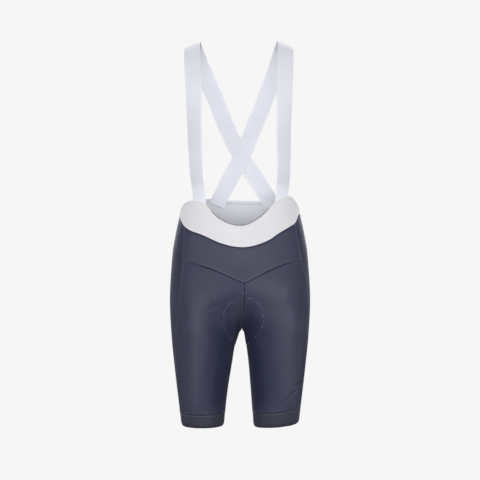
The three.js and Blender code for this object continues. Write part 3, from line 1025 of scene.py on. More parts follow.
class NodeBench:
    """A material's nodes, laid out in code."""

    def __init__(self, name: str) -> None:
        """Starts a material with a plain Principled shader.

        Args:
            name: The material's name.
        """
        self.material = bpy.data.materials.new(name)
        self.material.use_nodes = True
        self.tree = self.material.node_tree
        self.shader = next(n for n in self.tree.nodes if n.type == "BSDF_PRINCIPLED")

    def node(self, kind: str, settings: dict[str, Any], sockets: dict[Any, Any]) -> bpy.types.Node:
        """Adds a node.

        Args:
            kind: The node's type.
            settings: Its own settings, which are set first.
            sockets: The values or signals of its inputs, by name or number.

        Returns:
            The node.
        """
        node = self.tree.nodes.new(kind)
        for name, value in settings.items():
            setattr(node, name, value)
        for key, value in sockets.items():
            self.feed(node.inputs[key], value)
        return node

    def feed(self, target: bpy.types.NodeSocket, value: Any) -> None:
        """Links an input, or sets its value.

        Args:
            target: The input.
            value: The signal or socket to link to it, or the value to set.
        """
        if isinstance(value, Signal):
            self.tree.links.new(value.socket, target)
        elif isinstance(value, bpy.types.NodeSocket):
            self.tree.links.new(value, target)
        else:
            target.default_value = value

    def cloth_place(self) -> tuple[Signal, Signal]:
        """Finds where a point lies on the flat cloth.

        Returns:
            How far across it and how far down it, in millimetres.
        """
        flat = self.node("ShaderNodeUVMap", {"uv_map": CUT_MAP}, {})
        parts = self.node("ShaderNodeSeparateXYZ", {}, {0: flat.outputs[0]})
        return Signal(self, parts.outputs[0]) * 1000.0, Signal(self, parts.outputs[1]) * 1000.0

    def toned(self, colour: Any, deep: Colour) -> bpy.types.NodeSocket:
        """Puts the tone attribute, which holds painted light and shade, to a colour.

        Args:
            colour: The colour where the tone is 1, and past which it pales above that.
            deep: The colour where the tone is 0.

        Returns:
            The toned colour.
        """
        tone = self.node("ShaderNodeAttribute", {"attribute_name": TONE}, {})
        sockets = {0: tone.outputs["Fac"], 6: rgba(deep), 7: colour}
        return self.node("ShaderNodeMix", {"data_type": "RGBA", "clamp_factor": False}, sockets).outputs[2]

    def cloudiness(self, size: float, detail: float = 2.0) -> Signal:
        """Makes soft clouds through the object.

        Args:
            size: About how wide each cloud is, in metres.
            detail: How many finer layers they have.

        Returns:
            A signal from 0 to 1.
        """
        place = self.node("ShaderNodeTexCoord", {}, {}).outputs["Object"]
        sockets = {"Vector": place, "Scale": 1.0 / size, "Detail": detail, "Roughness": 0.55}
        return Signal(self, self.node("ShaderNodeTexNoise", {}, sockets).outputs[0])

    def mix(self, share: Signal | float, first: Any, second: Any) -> bpy.types.NodeSocket:
        """Returns a mix of two colours, as a socket."""
        node = self.node("ShaderNodeMix", {"data_type": "RGBA"}, {0: share, 6: first, 7: second})
        return node.outputs[2]

    def relief(self, layers: Sequence[tuple[Signal, float]]) -> bpy.types.NodeSocket:
        """Chains bumps.

        Args:
            layers: Heights from 0 to 1, each with the depth in metres that it stands for.

        Returns:
            The normal socket that feeds the shader.
        """
        normal = None
        for height, depth in layers:
            sockets = {"Height": height, "Strength": 1.0, "Distance": depth}
            if normal is not None:
                sockets["Normal"] = normal
            normal = self.node("ShaderNodeBump", {}, sockets).outputs[0]
        return normal

    def finish(self, **sockets: Any) -> bpy.types.Material:
        """Feeds the shader.

        Args:
            **sockets: The value or signal of each of its sockets, named with _ for spaces.

        Returns:
            The material.
        """
        for name, value in sockets.items():
            self.feed(self.shader.inputs[name.replace("_", " ")], value)
        return self.material


def rgba(colour: Colour, share: float = 1.0) -> tuple[float, float, float, float]:
    """Returns a colour, darkened or lightened by a share, as a shader takes it."""
    return (colour[0] * share, colour[1] * share, colour[2] * share, 1.0)


@dataclass(frozen=True)
class KnitFinish:
    """A close warp knit with a soft shine: columns of small slanted loops."""

    name: str
    colour: Colour
    # The colour that the painted shade of the tone attribute deepens to, at tone 0.
    deep: Colour = (0.0, 0.0, 0.0)
    shade: float = 0.9
    wale: float = 1.05
    course: float = 0.85
    loop_depth: float = 0.00005
    roughness: float = 0.5
    sheen: float = 0.25
    sheen_roughness: float = 0.35
    specular: float = 0.5
    sheen_colour: Colour = (0.8, 0.82, 1.0)
    rib: float = 0.0
    rib_pitch: float = 2.6
    gap_shade: float = 0.72
    cloud: float = 0.05
    cloud_depth: float = 0.0004
    fibre: float = 0.0016

    def make(self) -> bpy.types.Material:
        """Makes the material.

        Returns:
            The material, with loops in columns and a soft shine.
        """
        bench = NodeBench(self.name)
        across, down = bench.cloth_place()
        column = across * (1.0 / self.wale)
        slant = column.saw() * 0.5
        loops = column.wave() * 0.55 + (down * (1.0 / self.course) + slant).wave() * 0.45
        clouds = bench.cloudiness(self.cloud)
        fibre = bench.cloudiness(self.fibre, 3.0)
        tone = (clouds * 0.6 + fibre * 0.4).cut_off(0.25, 0.75)
        gaps = loops.cut_off(0.05, 0.5)
        plain = bench.mix(tone, rgba(self.colour, self.shade), rgba(self.colour, 2.0 - self.shade))
        colour = bench.mix(gaps, rgba(self.colour, self.gap_shade), plain)
        layers = [(loops, self.loop_depth), (clouds, self.cloud_depth)]
        if self.rib:
            layers.append(((across * (1.0 / self.rib_pitch)).wave(), self.rib))
        return bench.finish(
            Base_Color=bench.toned(colour, self.deep),
            Roughness=(1.0 - tone) * 0.06 + (self.roughness - 0.03),
            Specular_IOR_Level=self.specular,
            Sheen_Weight=self.sheen,
            Sheen_Roughness=self.sheen_roughness,
            Sheen_Tint=rgba(self.sheen_colour),
            Normal=bench.relief(layers),
        )


@dataclass(frozen=True)
class ElasticFinish:
    """Woven elastic: cords that run its length, crossed by fine picks, with a plain selvedge."""

    name: str
    colour: Colour
    cord: float = 1.6
    pick: float = 1.1
    cord_depth: float = 0.00012
    width: float = 40.0
    selvedge: float = 2.4
    selvedge_blend: float = 0.5
    gap_shade: float = 0.86
    cloud: float = 0.06
    cloud_depth: float = 0.0005

    def make(self) -> bpy.types.Material:
        """Makes the material.

        Returns:
            The material, with cords along it and a plain selvedge on each side.
        """
        bench = NodeBench(self.name)
        across, down = bench.cloth_place()
        cords = (across * (1.0 / self.cord)).wave()
        picks = (down * (1.0 / self.pick) + (across * (1.0 / self.cord)).saw() * 0.5).wave()
        weave = cords * 0.6 + picks * 0.4
        from_middle = (across - self.width / 2).maths("ABSOLUTE", across - self.width / 2)
        selvedge = self.width / 2 - self.selvedge
        body = 1.0 - from_middle.cut_off(selvedge - self.selvedge_blend, selvedge)
        clouds = bench.cloudiness(self.cloud)
        shade = clouds.cut_off(0.3, 0.7)
        plain = bench.mix(shade, rgba(self.colour, 0.97), rgba(self.colour, 1.02))
        hollow = weave.cut_off(0.1, 0.45) * body + (1.0 - body)
        colour = bench.mix(hollow, rgba(self.colour, self.gap_shade), plain)
        return bench.finish(
            Base_Color=bench.toned(colour, (0.0, 0.0, 0.0)),
            Roughness=0.62 + clouds * 0.08,
            Specular_IOR_Level=0.35,
            Sheen_Weight=0.2,
            Sheen_Roughness=0.4,
            Normal=bench.relief([
                (weave * (body * 0.7 + 0.3), self.cord_depth), (clouds, self.cloud_depth),
            ]),
        )


@dataclass(frozen=True)
class PadFinish:
    """Brushed microfibre over foam, pricked with small breathing holes."""

    name: str
    colour: Colour
    hole_pitch: float = 5.0
    hole: float = 0.75
    hole_blend: float = 0.12
    hole_shade: float = 0.35
    hole_depth: float = 0.0006
    nap: float = 0.0012
    nap_depth: float = 0.0001
    cloud: float = 0.03
    cloud_depth: float = 0.0006

    def make(self) -> bpy.types.Material:
        """Makes the material.

        Returns:
            The material, with a short nap and rows of holes.
        """
        bench = NodeBench(self.name)
        across, down = bench.cloth_place()
        step = 1.0 / self.hole_pitch
        holes = ((across * step).saw() * (down * step).saw()).cut_off(self.hole, self.hole + self.hole_blend)
        nap = bench.cloudiness(self.nap, 3.0)
        clouds = bench.cloudiness(self.cloud)
        plain = bench.mix(clouds.cut_off(0.3, 0.7), rgba(self.colour, 0.88), rgba(self.colour, 1.12))
        colour = bench.mix(holes, plain, rgba(self.colour, self.hole_shade))
        return bench.finish(
            Base_Color=bench.toned(colour, (0.0, 0.0, 0.0)),
            Roughness=0.85 - clouds * 0.08,
            Specular_IOR_Level=0.25,
            Sheen_Weight=0.45,
            Sheen_Roughness=0.5,
            Normal=bench.relief([
                (nap, self.nap_depth), (1.0 - holes, self.hole_depth), (clouds, self.cloud_depth),
            ]),
        )


@dataclass(frozen=True)
class ThreadFinish:
    """Twisted sewing thread."""

    name: str
    colour: Colour
    roughness: float = 0.55
    fleck: float = 0.0009
    fleck_depth: float = 0.0001

    def make(self) -> bpy.types.Material:
        """Makes the material.

        Returns:
            The material, with the flecks of a twisted thread.
        """
        bench = NodeBench(self.name)
        fleck = bench.cloudiness(self.fleck)
        colour = bench.mix(fleck.cut_off(0.35, 0.65), rgba(self.colour, 0.8), rgba(self.colour, 1.12))
        return bench.finish(
            Base_Color=colour,
            Roughness=self.roughness + fleck * 0.1,
            Specular_IOR_Level=0.4,
            Sheen_Weight=0.2,
            Normal=bench.relief([(fleck, self.fleck_depth)]),
        )


@dataclass(frozen=True)
class BackdropFinish:
    """Pale paper that glows evenly, and so shows no shadow."""

    name: str
    colour: Colour

    def make(self) -> bpy.types.Material:
        """Makes the material.

        Returns:
            The material, which takes no light and gives its own.
        """
        return NodeBench(self.name).finish(
            Base_Color=rgba((0.0, 0.0, 0.0)),
            Roughness=1.0,
            Specular_IOR_Level=0.0,
            Emission_Color=rgba(self.colour),
            Emission_Strength=1.0,
        )


class Dress(Enum):
    """The finishes that the garment and the backdrop are dressed in."""

    NAVY = KnitFinish("navy_knit", (0.042, 0.0448, 0.085), (0.0, 0.004, 0.036), sheen=0.06, specular=0.35)
    HEM = KnitFinish("hem_knit", (0.0325, 0.0365, 0.061), (0.0, 0.001, 0.02),
                     sheen=0.08, roughness=0.6, rib=0.00012, rib_pitch=2.2)
    WHITE = KnitFinish("white_knit", (0.80, 0.79, 0.82), shade=0.985, wale=0.9, course=0.8,
                       roughness=0.62, sheen=0.15, specular=0.3, loop_depth=0.00003)
    COOL_WHITE = replace(WHITE, name="cool_white_knit", colour=(0.8, 0.81, 0.875))
    STRAP = ElasticFinish("white_elastic", (0.81, 0.82, 0.895))
    PAD = PadFinish("pad_microfibre", (0.028, 0.032, 0.062))
    NAVY_THREAD = ThreadFinish("navy_thread", (0.15, 0.155, 0.23))
    PALE_THREAD = ThreadFinish("pale_thread", (0.3, 0.305, 0.42))
    WHITE_THREAD = ThreadFinish("white_thread", (0.9, 0.9, 0.93))
    BACKDROP = BackdropFinish("pale_paper", (0.9216, 0.9216, 0.9216))


@dataclass
class Wardrobe:
    """The materials, each made the first time it is asked for."""

    made: dict[Dress, bpy.types.Material] = field(default_factory=dict)

    def get(self, dress: Dress) -> bpy.types.Material:
        """Gets the material of a finish.

        Args:
            dress: The finish.

        Returns:
            The material.
        """
        if dress not in self.made:
            self.made[dress] = dress.value.make()
        return self.made[dress]


@dataclass
class Stitching:
    """Rows of sewing stitches, joined into one piece."""

    name: str
    thread: float
    sides: int = 5
    lift: float = 0.35
    sink_pitch: float = 46.0
    sink_seed: float = 1.1
    sink_level: float = 1.4
    runs: list[np.ndarray] = field(default_factory=list)

    def stitch(self) -> tuple[np.ndarray, np.ndarray]:
        """Shapes one stitch, a short thread whose ends dip into the cloth.

        Returns:
            Its points, at length 1 and thickness 1, and its faces.
        """
        turn = 2 * math.pi * np.arange(self.sides) / self.sides
        points = np.concatenate([
            np.stack([np.full(self.sides, x), radius * np.cos(turn), radius * np.sin(turn) + z], axis=-1)
            for x, radius, z in STITCH_RINGS
        ])
        faces = []
        for ring in range(len(STITCH_RINGS) - 1):
            for k in range(self.sides):
                a, b = ring * self.sides + k, ring * self.sides + (k + 1) % self.sides
                faces.append((a, b, b + self.sides, a + self.sides))
        return points, np.array(faces)

    def sew(self, line: np.ndarray, out: np.ndarray, pitch: float, length: float, slant: float = 0.0,
            span: tuple[float, float] = (0.0, 1.0), hidden: float = 0.0) -> None:
        """Lays stitches along a line.

        Args:
            line: The line's points on the cloth.
            out: The cloth's outward directions there.
            pitch: The distance from one stitch to the next.
            length: Each stitch's length.
            slant: The angle, in degrees, by which they lean to one side and the other in turn.
            span: The shares of the line between which they run.
            hidden: How much of the row sinks out of sight in the cloth, from 0 for none.
        """
        run = run_along(line[None], 1)[0]
        count = int((span[1] - span[0]) * run[-1] / pitch)
        if count < 1:
            return
        places = span[0] * run[-1] + (np.arange(count) + 0.5) * pitch
        places = places[uneven(places, self.sink_pitch, self.sink_seed) < self.sink_level - 2.0 * hidden]
        middle = read_line(run, line, places)
        up = unit(read_line(run, out, places))
        ahead = read_line(run, line, places + length / 2) - read_line(run, line, places - length / 2)
        ahead = unit(ahead - up * (ahead * up).sum(-1, keepdims=True))
        across = np.cross(up, ahead)
        lean = np.radians(slant) * np.where(np.arange(len(places)) % 2 == 0, 1.0, -1.0)[:, None]
        forward = ahead * np.cos(lean) + across * np.sin(lean)
        sideways = across * np.cos(lean) - ahead * np.sin(lean)
        shape, _ = self.stitch()
        self.runs.append(
            middle[:, None, :]
            + shape[None, :, :1] * length * forward[:, None, :]
            + shape[None, :, 1:2] * self.thread * sideways[:, None, :]
            + (shape[None, :, 2:] + self.lift) * self.thread * up[:, None, :]
        )

    def build(self, finish: bpy.types.Material) -> bpy.types.Object:
        """Makes one piece of all the stitches.

        Args:
            finish: Their material.

        Returns:
            The piece.
        """
        _, faces = self.stitch()
        placed = np.concatenate(self.runs)
        count, size = placed.shape[:2]
        numbers = (faces[None] + (np.arange(count) * size)[:, None, None]).reshape(-1, 4)
        caps = []
        last = size - self.sides
        for k in range(count):
            caps.append([k * size + s for s in range(self.sides)][::-1])
            caps.append([k * size + last + s for s in range(self.sides)])
        piece = new_piece(self.name, placed, numbers.tolist() + caps, finish)
        piece.data.polygons.foreach_set("use_smooth", np.ones(len(piece.data.polygons), bool))
        LOG.info("%s: %d stitches", self.name, count)
        return piece


def read_line(run: np.ndarray, line: np.ndarray, places: np.ndarray) -> np.ndarray:
    """Returns the points or directions of a line at given distances along it."""
    return np.stack([np.interp(places, run, line[:, k]) for k in range(3)], axis=-1)


@dataclass
class PadGrid(ClothGrid):
    """A padded grid, whose wall is as thick as its foam at each point."""

    foam: np.ndarray | None = None

    def faces(self) -> tuple[np.ndarray, np.ndarray]:
        """Returns the points of the face that lies on the cloth and of the padded face within."""
        return self.points, self.points - self.normals * self.foam[..., None]


@dataclass
class SeatPad:
    """The foam pad inside the crotch, with a channel down its middle and one within each side."""

    form: BodyForm
    wardrobe: Wardrobe
    depth_in: float = 5.3
    thickest: float = 6.4
    thinnest: float = 1.0
    rim: float = 1.6
    rim_width: float = 4.5
    crown_run: float = 13.0
    crown_power: float = 0.7
    side_thinning: float = 0.25
    places: int = 120
    columns: int = 64
    channel_depth: float = 2.4
    channel_width: float = 3.6
    channel_end: float = 26.0
    side_channel: float = 0.56
    side_channel_share: float = 0.8
    imprint_height: float = 1.0
    imprint_width: float = 5.0
    imprint_start: float = 0.25
    imprint_groove: float = 0.45
    imprint_groove_width: float = 1.4
    imprint_reach: float = 12.0
    batch: int = 2000
    surface: np.ndarray = field(init=False)
    half_widths: np.ndarray = field(init=False)
    shares: np.ndarray = field(init=False)

    def __post_init__(self) -> None:
        """Lays the pad's grid out over the body."""
        number = np.arange(len(PAD_BENDS))
        bend_at = SmoothCurve.through(number, PAD_BENDS, runs_on=True)
        width_at = SmoothCurve.through(number, PAD_HALF_WIDTHS, runs_on=True)
        place = fine_ended(self.places) * (len(PAD_BENDS) - 1)
        bend = bend_at(place)
        rows = self.form.crotch_row - np.abs(bend)
        front, back = (self.form.centre_point(rows, at_back) for at_back in (False, True))
        middle = np.where((bend > 0)[:, None], back, front)
        self.half_widths = width_at(place)
        self.shares = 2 * fine_ended(self.columns) - 1
        half = self.columns // 2
        self.surface = np.zeros((self.columns + 1, len(place), 3))
        self.surface[half] = middle
        for way in (1, -1):
            points = middle
            heading = np.broadcast_to(np.array([float(way), 0.0, 0.0]), middle.shape)
            for k in range(1, half + 1):
                gap = (self.shares[half + way * k] - self.shares[half + way * (k - 1)]) * way
                points, heading = self.form.step(points, heading, gap * self.half_widths)
                self.surface[half + way * k] = points

    def outline(self) -> np.ndarray:
        """Returns the pad's outline on the body, as a closed run of points."""
        grid = self.surface
        return np.concatenate([grid[-1], grid[::-1, -1][1:], grid[0, ::-1][1:], grid[:, 0][1:]])

    def imprint(self, points: np.ndarray) -> np.ndarray:
        """Works out how the pad shows through the cloth over it.

        Args:
            points: Points of the cloth.

        Returns:
            Heights: proud over the pad, and sunk along the seam that holds it.
        """
        outline = self.outline()[::2]
        middle = self.surface[self.columns // 2]
        heights = np.zeros(points.shape[:-1])
        low, high = outline.min(0) - self.imprint_reach, outline.max(0) + self.imprint_reach
        near = np.all((points > low) & (points < high), axis=-1)
        if not near.any():
            return heights
        chosen = points[near]
        away = np.full(len(chosen), np.inf)
        for part in np.array_split(np.arange(len(chosen)), max(1, len(chosen) // self.batch)):
            away[part] = np.linalg.norm(chosen[part][:, None] - outline[None], axis=-1).min(axis=1)
        spine = np.linalg.norm(chosen[:, None] - middle[None, ::3], axis=-1)
        nearest = spine.argmin(axis=1)
        inside = spine[np.arange(len(chosen)), nearest] < self.half_widths[::3][nearest]
        signed = np.where(inside, away, -away)
        proud = self.imprint_height * smoothstep(signed / self.imprint_width + self.imprint_start)
        heights[near] = proud - self.imprint_groove * np.exp(-((away / self.imprint_groove_width) ** 2))
        return heights

    def foam(self) -> np.ndarray:
        """Shapes the foam: a thin rim, a crown within it, and the three channels.

        Returns:
            The thickness of the pad at each point of its grid.
        """
        share = np.abs(self.shares)[:, None]
        width = self.half_widths[None, :]
        along = run_along(self.surface[self.columns // 2][None], 1)[0][None, :]
        to_end = np.minimum(along, along.max() - along)
        to_edge = np.minimum((1 - share) * width, to_end)
        crown = smoothstep((to_edge - self.rim_width) / self.crown_run) ** self.crown_power
        ends = smoothstep((to_end - self.channel_end) / self.channel_end)
        middle = np.exp(-((share * width / self.channel_width) ** 2)) * ends
        side = np.exp(-(((share - self.side_channel) * width / self.channel_width) ** 2)) * ends
        thick = self.rim + (self.thickest - self.rim) * crown * (1 - self.side_thinning * share)
        channel = self.channel_depth * np.maximum(middle, self.side_channel_share * side) * crown
        return np.maximum(thick - channel, self.thinnest)

    def build(self) -> bpy.types.Object:
        """Makes the pad.

        Returns:
            The piece.
        """
        normals = self.form.normal(self.surface)
        grid = PadGrid(self.surface - normals * self.depth_in, normals, 0.0, foam=self.foam())
        return grid.build("seat_pad_foam", self.wardrobe.get(Dress.PAD))


@dataclass
class LegPanels:
    """The knitted panels: a yoke across the front, and a front and a back length for each leg."""

    form: BodyForm
    lines: CutLines
    pad: SeatPad
    wardrobe: Wardrobe
    strokes: tuple[Stroke, ...]
    wall: float = 1.5
    front_columns: int = 56
    back_columns: int = 66
    yoke_rows: int = 28
    seat_rows: int = 48
    leg_rows: int = 60
    yoke_tone: float = 1.08
    least_tone: float = 0.2
    yoke_end_spans: tuple[tuple[float, float], ...] = ((0.0, 0.15), (0.85, 1.0))
    # The seams' shade paints shadow into their grooves, darkest in the top seam where the band's edge casts
    # it, and their shine paints a highlight on the ridge beside.
    top_seam: SeamShape = SeamShape(groove=0.8, groove_width=1.6, ridge=0.3, shade=0.88, shade_width=3.6)
    yoke_seam: SeamShape = SeamShape(groove=0.7, groove_width=1.3, ridge=0.4,
                                     shade=0.62, shade_width=1.7, shine=0.06)
    side_seam: SeamShape = SeamShape(groove=0.4, groove_width=1.2, ridge=0.35, ridge_place=2.8,
                                     shade=0.35, shade_width=1.2, shine=0.08)
    centre_seam: SeamShape = SeamShape(groove=0.7, groove_width=1.3, ridge=0.45, ridge_place=3.0,
                                       shade=0.62, shade_width=1.7, shine=0.26)
    hem_seam: SeamShape = SeamShape(groove=0.6, groove_width=1.3, ridge=0.3, shade=0.6, shade_width=1.9)
    pad_row_lift: float = 0.2
    grids: dict[str, ClothGrid] = field(default_factory=dict)

    def sewn(self, points: np.ndarray, seams: dict[Edge, SeamShape]) -> ClothGrid:
        """Lays cloth over the body, with its seams, its creases and the pad's imprint.

        Args:
            points: The cloth's points on the body.
            seams: The seam along each of its edges.

        Returns:
            The cloth.
        """
        grid = ClothGrid(points, self.form.normal(points), self.wall, joined=tuple(seams))
        heights = self.pad.imprint(points)
        for k, (edge, shape) in enumerate(seams.items()):
            heights = heights + grid.seam(edge, shape, 1.7 * k + 0.01 * points[0, 0, 0])
        # The tone marks paint highlight and shade into the cloth's colour, and the creases shape it.
        marked = np.ones(points.shape[:2])
        for stroke in self.strokes:
            if isinstance(stroke, Crease):
                heights = heights + stroke.height(self.form, points)
            else:
                marked = marked + stroke.tone(self.form, points)
        grid.tone = grid.tone * np.maximum(marked, self.least_tone)
        grid.raise_by(heights)
        grid.refresh_normals()
        return grid

    def yoke(self) -> ClothGrid:
        """Lays the yoke over both sides of the body.

        Returns:
            Its cloth.
        """
        across = fine_ended(self.front_columns, fine_start=False)
        regions = [(Line.BAND, Line.YOKE, fine_ended(self.yoke_rows))]
        left, right = (self.lines.panel(side, False, across, regions) for side in Side)
        ends = {Edge.START: self.side_seam, Edge.END: self.side_seam}
        grid = self.sewn(np.concatenate([left[::-1], right[1:]]),
                         {Edge.TOP: self.top_seam, Edge.BOTTOM: self.yoke_seam, **ends})
        grid.tone = grid.tone * self.yoke_tone
        return grid

    def leg(self, side: Side, at_back: bool) -> ClothGrid:
        """Lays one leg's front, or its back, which runs up to the waistband.

        Args:
            side: The leg's side.
            at_back: Whether it is the back.

        Returns:
            Its cloth.
        """
        regions = [
            (Line.YOKE, Line.CROTCH, fine_ended(self.seat_rows, fine_start=not at_back, fine_end=False)),
            (Line.CROTCH, Line.HEM_SEAM, fine_ended(self.leg_rows, fine_start=False)),
        ]
        if at_back:
            regions.insert(0, (Line.BAND, Line.YOKE, fine_ended(self.yoke_rows, fine_end=False)))
        across = fine_ended(self.back_columns if at_back else self.front_columns)
        top = self.top_seam if at_back else self.yoke_seam
        ends = {Edge.START: self.centre_seam, Edge.END: self.side_seam}
        return self.sewn(self.lines.panel(side, at_back, across, regions),
                         {Edge.TOP: top, Edge.BOTTOM: self.hem_seam, **ends})

    def build(self) -> dict[str, bpy.types.Object]:
        """Makes the five panels.

        Returns:
            The pieces by the CAD node that each one stands for.
        """
        self.grids["yoke_front"] = self.yoke()
        for side in Side:
            for node, at_back in (("leg_front", False), ("leg_back", True)):
                self.grids[f"{node}_{side.label}"] = self.leg(side, at_back)
        navy = self.wardrobe.get(Dress.NAVY)
        return {node: grid.build(f"{node}_knit", navy) for node, grid in self.grids.items()}

    def sew(self, rows: Stitching) -> None:
        """Lays the stitches beside the panels' seams.

        Args:
            rows: The stitching to add to.
        """
        for grid in self.grids.values():
            for edge in (Edge.BOTTOM, Edge.START, Edge.END):
                rows.sew(*grid.line_beside(edge, inset=2.1), pitch=3.4, length=2.3)

    def sew_pale(self, rows: Stitching) -> None:
        """Lays the paler stitches: at the yoke seam's outer ends, down the left side seam and round the pad.

        Args:
            rows: The stitching to add to.
        """
        yoke = self.grids["yoke_front"]
        for span in self.yoke_end_spans:
            rows.sew(*yoke.line_beside(Edge.BOTTOM, inset=1.2), pitch=4.6, length=3.0, span=span)
        for name in ("leg_front_left", "leg_back_left"):
            rows.sew(*self.grids[name].line_beside(Edge.END, inset=1.9), pitch=5.6, length=2.4, hidden=0.45)
        outline = self.pad.outline()
        out = self.form.normal(outline)
        rows.sew(outline + out * self.pad_row_lift, out, pitch=4.8, length=5.0, slant=44, hidden=0.52)


@dataclass
class Hems:
    """The gripper bands round the two leg openings."""

    form: BodyForm
    lines: CutLines
    wardrobe: Wardrobe
    wall: float = 1.9
    columns: int = 150
    rows: int = 20
    # The seam's and the edge's shade paint shadow beside the seam and along the curled edge, and the seam's
    # shine paints a highlight on its ridge.
    seam: SeamShape = SeamShape(groove=0.6, groove_width=1.3, ridge=0.25, ridge_place=2.6,
                                shade=0.35, shade_width=0.9, shine=0.3)
    edge: SeamShape = SeamShape(groove=0.0, ridge=0.25, ridge_place=2.0, ridge_width=1.4,
                                shade=0.35, shade_width=1.5)
    flare: float = 0.35
    flare_pitch: float = 46.0
    curl: float = 3.4
    curl_run: float = 9.0
    grids: dict[str, ClothGrid] = field(default_factory=dict)

    def band(self, side: Side) -> ClothGrid:
        """Lays one leg's hem round its opening, a little wavy and curled in at the edge.

        Args:
            side: The leg's side.

        Returns:
            Its cloth.
        """
        around = np.arange(self.columns) / self.columns
        down = fine_ended(self.rows)
        rows = self.lines.row_at(side, around[:, None], Line.HEM_SEAM, Line.BOTTOM, down[None, :])
        points = self.form.point(side, rows, around[:, None])
        grid = ClothGrid(points, self.form.normal(points), self.wall, closed=True, joined=(Edge.TOP,))
        heights = grid.seam(Edge.TOP, self.seam, seed=0.8)
        wave = uneven(grid.run_beside(Edge.TOP), self.flare_pitch, seed=1.0 + side.value)
        heights = heights + self.flare * wave * (down[None, :] ** 2)
        heights = heights + grid.seam(Edge.BOTTOM, self.edge, seed=2.9)
        heights = heights - self.curl * np.clip(1 - grid.away_from(Edge.BOTTOM) / self.curl_run, 0, 1) ** 2
        grid.raise_by(heights)
        grid.refresh_normals()
        return grid

    def build(self) -> dict[str, bpy.types.Object]:
        """Makes the two hems.

        Returns:
            The pieces by the CAD node that each one stands for.
        """
        for side in Side:
            self.grids[f"hem_{side.label}"] = self.band(side)
        finish = self.wardrobe.get(Dress.HEM)
        return {node: grid.build(f"{node}_gripper", finish) for node, grid in self.grids.items()}

    def sew(self, rows: Stitching) -> None:
        """Lays a row of stitches under each hem's seam.

        Args:
            rows: The stitching to add to.
        """
        for grid in self.grids.values():
            line, out = grid.line_beside(Edge.TOP, inset=2.0)
            rows.sew(np.vstack([line, line[:1]]), np.vstack([out, out[:1]]), pitch=3.4, length=2.3)


